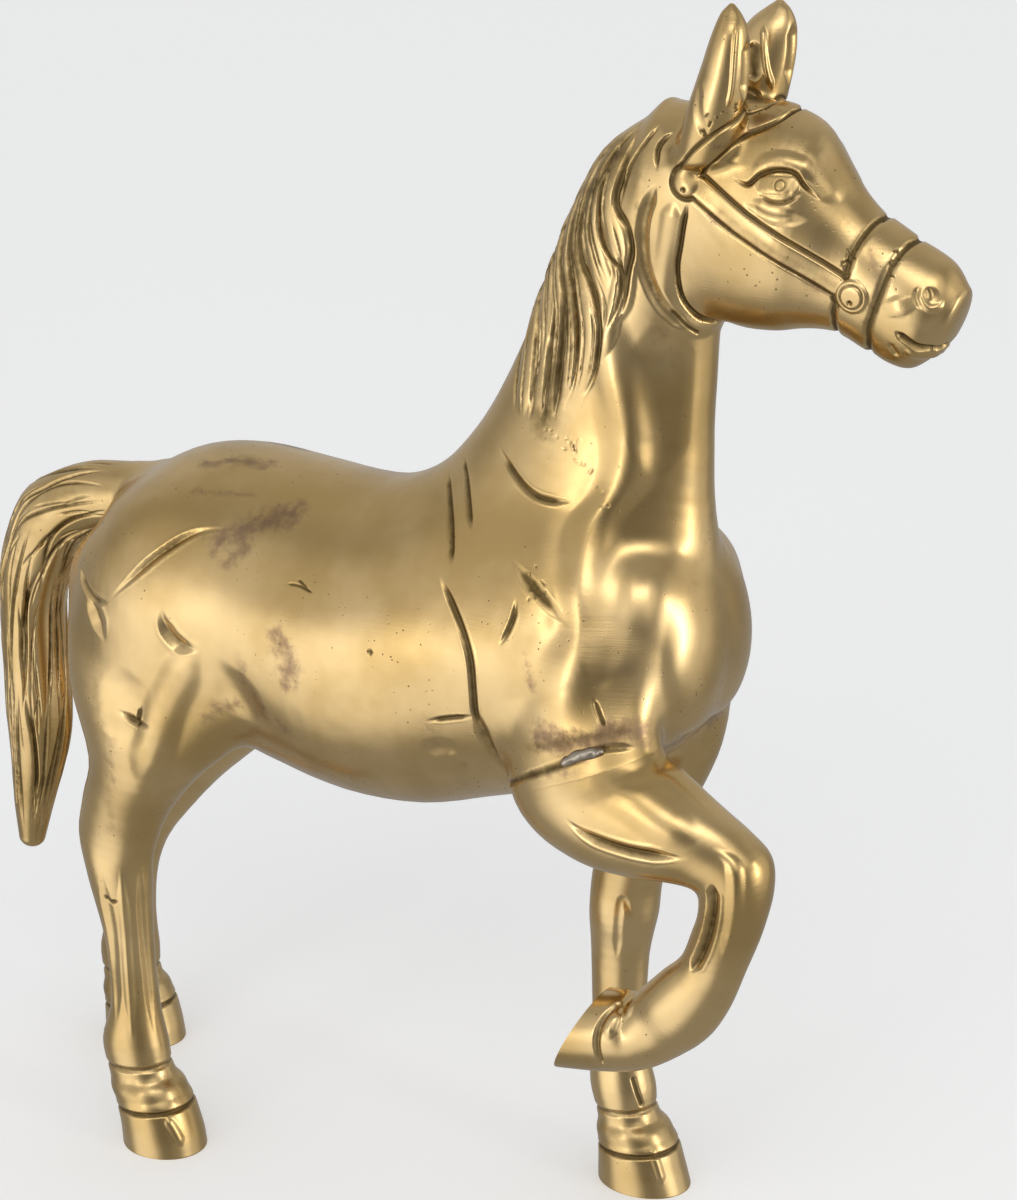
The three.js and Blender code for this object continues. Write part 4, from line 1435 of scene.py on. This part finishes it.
def head_marks() -> list[Mark]:
    """Gives the bridle and the face.

    Returns:
        The marks.
    """
    half = STRAP_WIDTH / 2
    marks = [
        strap([(57, 12.8, 281.8), (66.3, 13.4, 275.8), (74.3, 13.5, 271.5), (81.7, 12, 267.6),
               (90.5, 10, 262.8)], half),
        strap([(55.5, 14.2, 285), (58.8, 14.6, 289.2), (62.8, 13, 293.6), (67, 9.6, 296.6),
               (71.2, 5, 298.8), (73.2, 0, 299.8)], half - 0.2, 0.5),
        strap([(101.6, 0, 274.3), (100.4, 4.5, 273.4), (98.4, 7.6, 269.4), (97, 9.2, 264), (95.4, 9.6, 259),
               (93.6, 8.8, 254.4), (93, 6, 250.6), (92.6, 0, 248.6)], half + 1.4, 0.5),
        # The throat strap: a low band with a cut line in front and a broad hollow behind
        swell([(51.2, 13.9, 278.5), (49.6, 13.5, 269.5), (48, 12.2, 261.2), (48.6, 10.4, 253.6),
               (51.4, 7.5, 248.4), (52, 0, 247)], 3.3, 0.6, taper=0.1),
        Mark([(54.9, 13.8, 278.4), (53, 13.2, 269.2), (51.3, 11.6, 261.6), (51.7, 9.5, 254.8),
              (54.3, 6.8, 250.2), (57, 3.5, 248.6), (57.5, 0, 248.4)], 0.85, 0.85, grime=1.0, taper=0.1),
        Mark([(46.6, 13.5, 281.5), (43.8, 13.5, 274), (42.9, 13, 266.7), (43.8, 12.5, 259.7),
              (47.4, 11, 252.7), (52.8, 7.3, 246.2)], 2.2, 0.9, grime=0.6, taper=0.12),
        Mark([(49.5, 11, 251.6), (52.6, 8, 247.6), (54.6, 5.4, 245.4)], 0.7, 0.4, grime=1.0, taper=0.1),
        # Rosettes
        Mark([(54.3, 13.5, 282.7)], ROSETTE_RADIUS, -0.95, cut=Cut.KNOB, grime=0.8),
        Mark([(94.4, 9.6, 260.5)], ROSETTE_RADIUS + 0.8, -1.25, cut=Cut.KNOB, grime=0.8),
        Mark([(53.9, 13.5, 281.0)], 0.75, 0.9, grime=1.0, halo=1.2),
        Mark([(94.2, 9.6, 259.2)], 0.75, 0.9, grime=1.0, halo=1.2),
        ring_mark((94.4, 260.5), 2.8, 0.45, 0.3),
        # Eye: socket, ball, iris, lids and brow
        Mark([(70.5, 12.3, 283.8), (76.5, 11.8, 284.9), (82, 10.9, 284)], 3.4, 0.6, grime=0.2),
        Mark([(74, 12, 284), (79.4, 11.4, 284.3)], 2.2, -0.65, cut=Cut.LOCK, grime=0.0, taper=0.0),
        ring_mark((76.9, 284.3), 1.2, 0.45, 0.08),
        Mark([(65.1, 12.3, 284.9), (69, 12.6, 283.7), (71.9, 11.9, 286.1), (75.7, 11.2, 287.5),
              (79.8, 10.5, 287.1), (82.3, 10.4, 284.4), (86, 9.2, 281.2)], 0.8, 0.75, grime=0.9, taper=0.2),
        Mark([(71.7, 12.8, 282.3), (75, 13, 280.6), (79, 12.4, 280.9), (81.9, 10.9, 283.1)], 0.7, 0.45,
             grime=0.7),
        swell([(69.6, 12.2, 286.4), (72.6, 11.6, 288.8), (76.6, 10.7, 289.8), (81, 9.8, 288.8),
               (84.4, 9.2, 285.4)], 2.6, 0.45),
        swell([(70.5, 12.9, 280.6), (75, 12.9, 278.8), (81, 11.6, 279)], 1.9, 0.25),
        Mark([(68, 12.8, 279.4), (76, 12.8, 276.6), (84, 10.8, 277.2)], 1.8, 0.4, grime=0.3),
        # Forehead, cheek, nose and mouth
        swell([(80, 7, 293), (85, 7, 286.5), (90, 7.2, 280)], 4.0, 0.4),
        swell([(104.5, 9, 262), (106.4, 8.8, 257)], 4.0, 0.4),
        Mark([(112.4, 7.4, 262.4)], 2.4, 0.35, grime=0.3),
        swell([(110.4, 7.8, 265), (110.5, 8.1, 262), (112.2, 8, 259.8), (114.2, 7, 260.2), (115, 6, 262)],
              1.2, 0.4, taper=0.3),
        Mark([(111.4, 7.6, 264.4), (112.2, 7.5, 262.8), (112.3, 7.6, 261.2)], 0.8, 0.2, grime=0.7, taper=0.2),
        Mark([(109.4, 8.2, 264.6), (109.2, 8.5, 261.6), (110.6, 8.3, 259)], 0.9, 0.2, grime=0.5),
        Mark([(104.6, 9.1, 253.8), (106.8, 8.8, 252.2), (109.4, 7.4, 250.5), (112, 5.6, 249.8),
              (114.2, 3, 249.8), (114.6, 0, 249.8)], 1.35, 1.2, grime=0.9, taper=0.15),
        swell([(106.4, 8, 249.8), (110, 5.4, 247.6), (112.6, 0, 247.4)], 1.6, 0.45),
        Mark([(103, 8.6, 250.6), (105, 7, 247)], 1.2, 0.4, grime=0.4),
        # Ears: the edge behind, the inner edge, and the hollow between them
        swell([(65, 12.2, 320), (66, 14.4, 314), (66, 15.1, 305), (65, 15.6, 300)], 0.9, 0.5, taper=0.15),
        swell([(62.4, 6.6, 316.5), (63.6, 6.1, 310.5), (64.5, 5.8, 306), (66, 6.4, 301.5)], 1.0, 0.7,
              taper=0.15),
        Mark([(67.8, 10.6, 301.5), (68.2, 10.6, 306), (68.2, 10.8, 311), (66.6, 11.2, 316.5)], 2.6, 2.2,
             grime=0.55, taper=0.25),
        Mark([(60.6, 5.4, 313), (61.2, 5, 308), (62, 5, 303)], 2.4, 0.9, grime=0.75, taper=0.2),
        Mark([(60.5, 15.2, 293), (58.4, 15.5, 300), (58, 15.2, 307)], 1.8, 0.35, grime=0.3),
    ]
    marks += [wash(path, width, grime) for path, width, grime in HEAD_DIRT]
    # Hair of the forelock, drawn back from the browband between the ears
    for across in (0.8, 2.6, 4.4):
        marks.append(Mark([(56, across, 300.4), (61, across + 0.6, 301.4), (66, across, 301.2)], 0.6, 0.4,
                          grime=0.8, taper=0.3))
    poll = ((59, 15, 295), (62.5, 15, 299.5), (66, 11, 301.5), (70, 5, 301.5))
    return [*marks, *pits_along(poll, 16, 0.7),
            *pits_along(((95, 8, 273), (93.4, 9, 270), (92.4, 9.7, 267.5)), 12, 0.5),
            *pits_along(((103.6, 5, 271), (102.8, 8.6, 265.6)), 9, 0.6)]


# The cut lines between the locks of the mane, from the poll back along the crest, x and z
MANE_LINES: tuple[Path, ...] = (
    ((37.5, 289), (36.2, 281.5), (35.6, 275.2), (39, 270.6), (40.2, 265.3), (39.3, 259.7), (38.2, 252.1),
     (35.5, 245.8)),
    ((33, 288), (31, 280), (30.7, 273.4), (31.6, 267.3), (34.4, 262.9), (37.4, 260), (37, 252), (34, 244)),
    ((28.5, 285), (26, 276), (25.1, 266.1), (26.2, 260.9), (29.6, 255.3), (32.2, 249.2), (32.9, 242.7),
     (31.2, 233.8), (28, 226.8)),
    ((24.5, 281.5), (22.5, 272), (22.1, 260.1), (25.1, 251.2), (26.4, 241.5), (26, 233), (25, 227.2)),
    ((21, 276), (19, 266), (19.2, 258), (21.6, 250.5), (22, 239.7), (21.6, 229), (20.9, 220.4)),
    ((17.6, 269), (15.8, 260), (17, 252.5), (18.8, 246.7), (18.4, 236.9), (18, 228), (17.3, 220.2)),
    ((13.8, 259.5), (12, 251), (12.4, 244), (13.8, 236.8), (14, 226), (13.7, 219.6)),
    ((10, 250), (7.8, 242), (6.8, 235), (7.5, 227), (8.6, 221)),
)


def between(first: Path, second: Path, share: float) -> Path:
    """Gives the path that runs between two others.

    Args:
        first: One path.
        second: The other.
        share: How far it lies towards the other, from 0 to 1.

    Returns:
        The points of the path.
    """
    places = np.linspace(0, 1, 7)
    mixed = []
    for path in (np.array(first, float), np.array(second, float)):
        run = np.concatenate([[0], np.cumsum(np.linalg.norm(np.diff(path, axis=0), axis=1))])
        mixed.append(np.column_stack([np.interp(places * run[-1], run, column) for column in path.T]))
    return (mixed[0] * (1 - share) + mixed[1] * share).tolist()


def mane_marks() -> list[Mark]:
    """Gives the locks of the mane, which falls to the right, and the hairs along the crest.

    Returns:
        The marks.
    """
    right, left = Side.RIGHT, Side.LEFT
    chance = np.random.default_rng(5)
    lines = [((path[0][0] + 2.4, 3.2, path[0][1] + 3.2), *path) for path in MANE_LINES]
    marks = [wash([(34, 286), (25, 270), (24, 252), (21, 234), (18, 221)], 13, 0.62, right)]
    for first, second in zip(MANE_LINES[:-1], MANE_LINES[1:]):
        middle = between(first, second, 0.5)
        gap = float(np.linalg.norm(np.array(first[3]) - np.array(second[3])))
        marks.append(Mark(middle, min(3.0, max(1.9, gap * 0.55)), -0.65, right, Cut.LOCK, 0.0, 0.2))
        for _ in range(5):
            strand = between(first, second, chance.uniform(0.12, 0.88))
            start = int(chance.integers(0, 4))
            marks.append(Mark(strand[start:start + int(chance.integers(3, 5))], chance.uniform(0.4, 0.6),
                              chance.uniform(0.25, 0.5), right, grime=chance.uniform(0.6, 1.0), taper=0.4))
    for n, line in enumerate(lines):
        marks.append(Mark(line, 1.15 - 0.3 * (n % 2), 1.1 if n < 7 else 0.7, right, grime=1.0, taper=0.22))
    for line in (((46, 8, 295), (43, 9.5, 291), (39.5, 10.6, 286), (37.4, 11.4, 280), (36.8, 12.2, 274)),
                 ((49, 10, 294), (46, 11.6, 289.5), (46.4, 12.6, 284)),
                 ((38, 4, 295), (34, 7, 290), (30.6, 8.8, 284), (29, 9.8, 277))):
        marks.append(Mark(line, 1.0, 0.8, right, grime=1.0, taper=0.3))
    crest = [(42, 297.4), (26.5, 285.5), (18, 270), (11.8, 253.8), (5.6, 237.3), (-1.7, 222.5), (-11, 209.5)]
    for across, start, stop in ((1.2, 0, 6), (3.2, 0, 5), (5.6, 0, 4), (0.2, 2, 7)):
        for side in (right, left):
            path = [(x + 0.1 * across, across, z) for x, z in crest[start:stop + 1]]
            marks.append(Mark(path, 0.7, 0.55, side, grime=0.9, taper=0.3))
    for across in (4.2, 7.4, 10.4):
        for n in range(2):
            path = [(x + 0.25 * across + n, across - 0.6 * k, z - 0.1 * across)
                    for k, (x, z) in enumerate(crest[n:n + 4])]
            marks.append(Mark(path, 0.9, 0.6, left, grime=0.8, taper=0.4))
    return marks


def tail_marks() -> list[Mark]:
    """Gives the strands of the tail, cut with long strokes that wander down it.

    Returns:
        The marks.
    """
    tail = Loft(TAIL)
    chance = np.random.default_rng(11)
    marks = []

    def stroke(start: float, run: float, turn: float, drift: float, width: float, depth: float,
               grime: float) -> None:
        """Adds one stroke down the tail.

        Args:
            start: Where it starts, in sections from the root.
            run: How many sections long it is.
            turn: Its place round the tail, as an angle.
            drift: How far it turns round the tail on its way.
            width: Half its width in mm.
            depth: Its depth in mm.
            grime: The dirt that it holds.
        """
        sway = chance.uniform(0, math.tau)
        path = []
        for k in range(6):
            place = min(start + run * k / 5, 10.9)
            bend = 0.16 * math.sin(place * 1.1 + sway)
            path.append(tail.spot(place, turn + drift * k / 5 + bend))
        marks.append(Mark(path, width, depth, Side.LEFT, grime=grime, taper=0.35))

    for n in range(17):
        turn = math.tau * n / 17
        for start in (0.9, 3.6, 6.6):
            stroke(start + chance.uniform(-0.3, 0.3), 4.0, turn + chance.normal(0, 0.09),
                   chance.normal(0.1, 0.16), chance.uniform(0.7, 1.1), chance.uniform(0.4, 0.75), 0.75)
    for n in range(120):
        stroke(chance.uniform(0.8, 9.4), chance.uniform(1.0, 2.2), chance.uniform(0, math.tau),
               chance.normal(0.12, 0.2), chance.uniform(0.35, 0.6), chance.uniform(0.2, 0.42), 0.6)
    for turn in (0.2, 1.8, 3.4, 5.0):
        marks.append(Mark([tail.spot(place, turn) for place in (0.2, 3, 6, 9, 10.8)], 11, 0.0, Side.LEFT,
                          grime=0.36, taper=0.0, halo=1.0))
    return marks


@dataclass
class BrazeBead:
    """The grey bead of solder that holds the raised leg in its crease."""

    finish: bpy.types.Material
    step: float = 0.3
    path: Path = ((37.4, -37.2, 146), (40, -36.9, 147.1), (42.6, -36.3, 148.4), (45, -35.4, 149.4))
    # Its lumps: the smallest and the largest half sizes, how far they wander, and their fillet, in mm
    least: tuple[float, float, float] = (1.0, 0.9, 0.8)
    most: tuple[float, float, float] = (2.4, 1.5, 1.5)
    wander: float = 0.35
    fillet: float = 0.7

    def build(self) -> None:
        """Lays the bead along the crease."""
        chance = np.random.default_rng(3)
        line = np.array(self.path)
        lumps = [(Egg(at + chance.normal(0, self.wander, 3), chance.uniform(self.least, self.most), -24, 25),
                  self.fillet) for at in smooth_row(line, 4)]
        work = sculpted(blended(lumps), Relief([]), line.min(0) - 5, line.max(0) + 5, self.step)
        finished_piece(work, "braze_bead", "right_foreleg_braze", self.finish)


class Wire:
    """A value or colour that runs through a material, with arithmetic for values."""

    def __init__(self, nodes: "Nodes", socket: bpy.types.NodeSocket) -> None:
        """Keeps the output socket that carries the value."""
        self.nodes = nodes
        self.socket = socket

    def _maths(self, operation: str, first: "Wire | float", second: "Wire | float") -> "Wire":
        """Adds one Math node for an operation on two values."""
        return self.nodes.node("ShaderNodeMath", {"operation": operation}, {0: first, 1: second})

    def __add__(self, other: "Wire | float") -> "Wire":
        """Adds a value."""
        return self._maths("ADD", self, other)

    __radd__ = __add__

    def __mul__(self, other: "Wire | float") -> "Wire":
        """Multiplies by a value."""
        return self._maths("MULTIPLY", self, other)

    __rmul__ = __mul__

    def __sub__(self, other: "Wire | float") -> "Wire":
        """Takes a value away."""
        return self._maths("SUBTRACT", self, other)

    def __rsub__(self, other: "Wire | float") -> "Wire":
        """Is taken away from a value."""
        return self._maths("SUBTRACT", other, self)

    def most(self, other: "Wire | float") -> "Wire":
        """Gives the larger of two values."""
        return self._maths("MAXIMUM", self, other)

    def between(self, low: float, high: float) -> "Wire":
        """Runs smoothly from 0 at the low value to 1 at the high one."""
        return self.nodes.node("ShaderNodeMapRange", {"interpolation_type": "SMOOTHSTEP", "clamp": True},
                               {"Value": self, "From Min": low, "From Max": high})


Colour = tuple[float, float, float]


class Nodes:
    """Adds nodes to one tree."""

    def __init__(self, tree: bpy.types.NodeTree) -> None:
        """Keeps the tree."""
        self.tree = tree

    def node(self, kind: str, settings: dict, inputs: dict, output: int | str = 0) -> Wire:
        """Adds a node.

        Args:
            kind: The node's type.
            settings: Its own settings, or the stops of its ramp under the name stops.
            inputs: Values or wires for its sockets, by name or number.
            output: The output that is used.

        Returns:
            The wire from that output.
        """
        made = self.tree.nodes.new(kind)
        for name, value in settings.items():
            if name == "stops":
                self._set_stops(made.color_ramp, value)
            else:
                setattr(made, name, value)
        for name, value in inputs.items():
            self.feed(made.inputs[name], value)
        return Wire(self, made.outputs[output])

    @staticmethod
    def _set_stops(ramp: bpy.types.ColorRamp, stops: Sequence[tuple[float, Colour]]) -> None:
        """Gives a ramp its stops.

        Args:
            ramp: The ramp.
            stops: The place and the colour of each stop.
        """
        while len(ramp.elements) < len(stops):
            ramp.elements.new(0.5)
        for element, (place, colour) in zip(ramp.elements, stops):
            element.position = place
            element.color = (*colour, 1.0)

    def feed(self, socket: bpy.types.NodeSocket, value: "Wire | float | Sequence[float]") -> None:
        """Sets a socket to a value or links a wire to it.

        Args:
            socket: The socket.
            value: The wire, number, colour or vector.
        """
        if isinstance(value, Wire):
            self.tree.links.new(value.socket, socket)
        elif isinstance(value, (int, float)):
            socket.default_value = value
        elif len(value) == 3 and len(socket.default_value) == 4:
            socket.default_value = (*value, 1.0)
        else:
            socket.default_value = value


class Paint(Nodes):
    """Builds the nodes of one material."""

    def __init__(self, name: str) -> None:
        """Starts a material with its shader and its place on the horse.

        Args:
            name: The material's name.
        """
        self.material = bpy.data.materials.new(name)
        self.material.use_nodes = True
        super().__init__(self.material.node_tree)
        self.tree.nodes.clear()
        self.shader = self.tree.nodes.new("ShaderNodeBsdfPrincipled")
        output = self.tree.nodes.new("ShaderNodeOutputMaterial")
        self.tree.links.new(self.shader.outputs[0], output.inputs["Surface"])
        self.place = self.node("ShaderNodeTexCoord", {}, {}, "Object")

    def noise(self, scale: float, detail: float = 3.0, rough: float = 0.5, twist: float = 0.0,
              stretch: Sequence[float] | None = None) -> Wire:
        """Adds cloudy noise that lies on the horse.

        Args:
            scale: How many clouds a metre holds.
            detail: How many finer layers it has.
            rough: How strong they are.
            twist: How much it is twisted.
            stretch: The scale along each axis, where it is drawn out into lines.

        Returns:
            The noise from 0 to 1.
        """
        place = self.place
        if stretch:
            place = self.node("ShaderNodeMapping", {}, {"Vector": place, "Scale": stretch})
        return self.node("ShaderNodeTexNoise", {},
                         {"Vector": place, "Scale": scale, "Detail": detail, "Roughness": rough,
                          "Distortion": twist})

    def cells(self, scale: float) -> Wire:
        """Adds the distance to the nearest of many scattered points."""
        return self.node("ShaderNodeTexVoronoi", {}, {"Vector": self.place, "Scale": scale}, "Distance")

    def mix(self, share: "Wire | float", first: "Wire | Colour", second: "Wire | Colour") -> Wire:
        """Mixes two colours."""
        return self.node("ShaderNodeMix", {"data_type": "RGBA"}, {0: share, 6: first, 7: second}, 2)

    def finish(self, **sockets: "Wire | float | Colour") -> bpy.types.Material:
        """Feeds the shader's sockets.

        Args:
            sockets: What each gets, named with underscores for spaces.

        Returns:
            The material.
        """
        for name, value in sockets.items():
            self.feed(self.shader.inputs[name.replace("_", " ")], value)
        return self.material


@dataclass(frozen=True)
class AgedBrass:
    """Polished cast brass that has yellowed, with dirt in its hollows and reddish tarnish."""

    name: str
    bright: Colour = (0.685, 0.49, 0.235)
    warm: Colour = (0.54, 0.365, 0.145)
    dirt: Colour = (0.10, 0.066, 0.022)
    tarnish: Colour = (0.22, 0.13, 0.09)
    gloss: float = 0.17
    # How many clouds, specks, grains, pores and tarnished patches fit in a metre
    clouds: float = 30.0
    specks: float = 330.0
    grains: float = 1500.0
    pores: float = 420.0
    patches: float = 46.0
    # The same for the lines left by polishing, along each axis
    polish: Colour = (90.0, 90.0, 2600.0)

    def material(self) -> bpy.types.Material:
        """Makes the material.

        Returns:
            The brass.
        """
        paint = Paint(self.name)
        grime = paint.node("ShaderNodeAttribute", {"attribute_name": "grime"}, {}, "Fac")
        stain = paint.node("ShaderNodeAttribute", {"attribute_name": "stain"}, {}, "Fac")
        cloud = paint.noise(self.clouds, 4.0, 0.55)
        speckle = paint.noise(self.specks, 5.0, 0.62)
        grain = paint.noise(self.grains, 3.0, 0.6)
        pores = paint.cells(self.pores)
        patch = paint.noise(self.patches, 3.0, 0.6, 0.4)
        tone = paint.mix(cloud.between(0.36, 0.66), self.bright, self.warm)
        red = (stain + speckle * 1.7 + patch * 0.9 - 1.3).between(0.15, 0.95) * stain.between(0.0, 0.5) * 0.72
        tone = paint.mix(red, tone, self.tarnish)
        pitted = pores.between(0.15, 0.05) * patch.between(0.47, 0.62)
        dirty = (grime * (0.5 + speckle)).between(0.2, 0.75).most(pitted * 0.9)
        colour = paint.mix(dirty * 0.88, tone, self.dirt)
        rough = self.gloss + cloud * 0.09 + dirty * 0.28 + red * 0.18 + speckle * 0.05
        lines = paint.noise(1.0, 2.0, 0.5, 0.0, self.polish)
        height = grain * 0.25 + lines * patch.between(0.44, 0.6) * 0.5 - pitted * 1.6 - dirty * speckle * 0.8
        bump = paint.node("ShaderNodeBump", {}, {"Strength": 0.1, "Distance": 0.0003, "Height": height})
        return paint.finish(Base_Color=colour, Metallic=1.0, Roughness=rough, Normal=bump)


@dataclass(frozen=True)
class PaleFloor:
    """A plain matt floor."""

    name: str = "pale_floor"
    colour: Colour = (0.82, 0.82, 0.81)
    glow: float = 0.3

    def material(self) -> bpy.types.Material:
        """Makes the material.

        Returns:
            The pale matt finish.
        """
        paint = Paint(self.name)
        tone = paint.mix(paint.noise(3.0, 2.0), self.colour, tuple(0.985 * c for c in self.colour))
        return paint.finish(Base_Color=tone, Roughness=0.65, Emission_Color=(1.0, 1.0, 1.0),
                            Emission_Strength=self.glow)


@dataclass(frozen=True)
class SoftLight:
    """A soft patch of light in the studio's pale air, placed round the horse in degrees."""

    azimuth: float
    elevation: float
    core: float
    edge: float
    strength: float

    def way(self) -> tuple[float, float, float]:
        """Gives its direction from the horse."""
        a, e = math.radians(self.azimuth), math.radians(self.elevation)
        return math.sin(a) * math.cos(e), -math.cos(a) * math.cos(e), math.sin(e)


@dataclass(frozen=True)
class Softbox:
    """A lamp with a wide front: its place in degrees, width and height in metres, and watts."""

    name: str
    azimuth: float
    elevation: float
    size: tuple[float, float]
    power: float


@dataclass
class Studio:
    """The floor, the lights and the camera."""

    target: Vector = field(default_factory=lambda: Vector((0.0, 0.0, 168.0)))
    distance: float = 800.0
    azimuth: float = 30.0
    elevation: float = 20.0
    lens: float = 96.0
    dim: float = 0.38
    wall_radius: float = 12.0
    wall_height: float = 12.0
    patches: tuple[SoftLight, ...] = (
        SoftLight(-13, 3, 3, 24, 0.35), SoftLight(-27, -22, 10, 38, 0.95),
        SoftLight(-38, 12, 6, 44, 0.4), SoftLight(6, 36, 6, 26, 0.75),
        SoftLight(42, 34, 6, 26, 0.75), SoftLight(82, 3, 4, 26, 1.15),
        SoftLight(104, 5, 12, 46, 0.5), SoftLight(27, -3, 4, 25, -0.15),
        SoftLight(-150, 45, 10, 80, 0.22),
    )
    softboxes: tuple[Softbox, ...] = (
        Softbox("left_softbox", -12.0, 7.0, (0.16, 0.5), 0.6),
        Softbox("right_softbox", 82.0, 8.0, (0.16, 0.5), 1.0),
        Softbox("top_softbox", 25.0, 38.0, (0.6, 0.28), 0.8),
    )
    softbox_distance: float = 1000.0
    floor_half: float = 20.0

    def place(self, azimuth: float, elevation: float, distance: float) -> Vector:
        """Gives a place round the horse.

        Args:
            azimuth: Degrees from the horse's right side towards its front.
            elevation: Degrees up from the floor.
            distance: Millimetres from the middle of the horse.

        Returns:
            The place in the frame, in metres.
        """
        a, e = math.radians(azimuth), math.radians(elevation)
        back = Vector((math.sin(a) * math.cos(e), -math.cos(a) * math.cos(e), math.sin(e)))
        return (self.target + back * distance + TO_FRAME) * MM

    def aim(self, thing: bpy.types.Object, at: Vector) -> None:
        """Turns a camera or lamp towards a point."""
        thing.rotation_euler = (at - thing.location).to_track_quat("-Z", "Y").to_euler()

    def hang(self, box: Softbox) -> None:
        """Hangs a softbox and aims it at the middle of the horse.

        Args:
            box: The softbox.
        """
        data = bpy.data.lights.new(box.name, "AREA")
        data.shape = "RECTANGLE"
        data.size, data.size_y = box.size
        data.energy = box.power
        lamp = bpy.data.objects.new(box.name, data)
        lamp.location = self.place(box.azimuth, box.elevation, self.softbox_distance)
        self.aim(lamp, (self.target + TO_FRAME) * MM)
        bpy.context.scene.collection.objects.link(lamp)

    def air(self) -> bpy.types.World:
        """Makes the pale air of the studio, with soft patches of light in it.

        Returns:
            The world.
        """
        world = bpy.data.worlds.new("studio_air")
        world.use_nodes = True
        nodes = Nodes(world.node_tree)
        way = nodes.node("ShaderNodeTexCoord", {}, {}, "Generated")
        strength = self.dim
        for patch in self.patches:
            facing = nodes.node("ShaderNodeVectorMath", {"operation": "DOT_PRODUCT"},
                                {0: way, 1: patch.way()}, "Value")
            glow = facing.between(math.cos(math.radians(patch.edge)), math.cos(math.radians(patch.core)))
            strength = strength + glow * patch.strength
        background = world.node_tree.nodes["Background"]
        nodes.feed(background.inputs["Color"], (0.97, 0.98, 1.0))
        nodes.feed(background.inputs["Strength"], strength)
        return world

    def build(self) -> None:
        """Makes the camera, the lights and the floor."""
        scene = bpy.context.scene
        camera = bpy.data.objects.new("camera", bpy.data.cameras.new("camera"))
        camera.data.lens = self.lens
        camera.data.sensor_width = 36.0
        camera.data.clip_start = 0.01
        camera.location = self.place(self.azimuth, self.elevation, self.distance)
        self.aim(camera, (self.target + TO_FRAME) * MM)
        scene.collection.objects.link(camera)
        scene.camera = camera
        for box in self.softboxes:
            self.hang(box)
        scene.world = self.air()
        scene.view_settings.view_transform = "Standard"
        mesh = bpy.data.meshes.new("floor")
        half = self.floor_half
        mesh.from_pydata([(-half, -half, 0), (half, -half, 0), (half, half, 0), (-half, half, 0)],
                         [], [(0, 1, 2, 3)])
        mesh.materials.append(PaleFloor().material())
        floor = bpy.data.objects.new("floor", mesh)
        floor.visible_glossy = False
        scene.collection.objects.link(floor)
        self.backdrop(PaleFloor("pale_wall", glow=0.15).material())

    def backdrop(self, finish: bpy.types.Material) -> None:
        """Makes the pale wall round the studio, which neither shades nor lights the horse.

        Args:
            finish: Its material.
        """
        ring = [(self.wall_radius * math.cos(t), self.wall_radius * math.sin(t))
                for t in np.linspace(0.0, math.tau, 64, endpoint=False)]
        count = len(ring)
        mesh = bpy.data.meshes.new("backdrop")
        mesh.from_pydata([(x, y, z) for z in (0.0, self.wall_height) for x, y in ring], [],
                         [(n, (n + 1) % count, (n + 1) % count + count, n + count) for n in range(count)])
        mesh.materials.append(finish)
        wall = bpy.data.objects.new("backdrop", mesh)
        wall.visible_glossy = wall.visible_diffuse = wall.visible_shadow = False
        bpy.context.scene.collection.objects.link(wall)


def main() -> None:
    """Makes the studio and every casting in order."""
    logging.basicConfig(level=logging.INFO, format="%(message)s")
    coarse = 1.0
    whole = blended([*horse_forms(), (Loft(RIGHT_FORE[1:], root=FORE_ROOT), RAISED_FILLET),
                     (Loft(TAIL), TAIL_FILLET)])
    relief = Relief([*body_marks(), *leg_marks(), *head_marks(), *mane_marks(), *stain_marks()])
    strands = Relief(tail_marks())
    relief.lift(whole)
    strands.lift(tail_field())
    brass = AgedBrass("aged_brass").material()
    solder = AgedBrass("grey_solder", bright=(0.66, 0.58, 0.47), warm=(0.4, 0.34, 0.27),
                       dirt=(0.07, 0.06, 0.05), tarnish=(0.2, 0.15, 0.12), gloss=0.3).material()
    Studio().build()
    body = BodyHalves(brass, relief)
    head = Head(brass, relief)
    legs = [
        StandingLeg("left_foreleg_cast", "left_foreleg", LEFT_FORE, brass, relief),
        StandingLeg("right_hind_leg_cast", "right_hind_leg", RIGHT_HIND, brass, relief),
        StandingLeg("left_hind_leg_cast", "left_hind_leg", LEFT_HIND, brass, relief),
        RaisedLeg(brass, relief),
    ]
    for part in (body, head, *legs, Tail(brass, strands), BrazeBead(solder)):
        part.step *= coarse
        part.build()


if __name__ == "__main__":
    main()
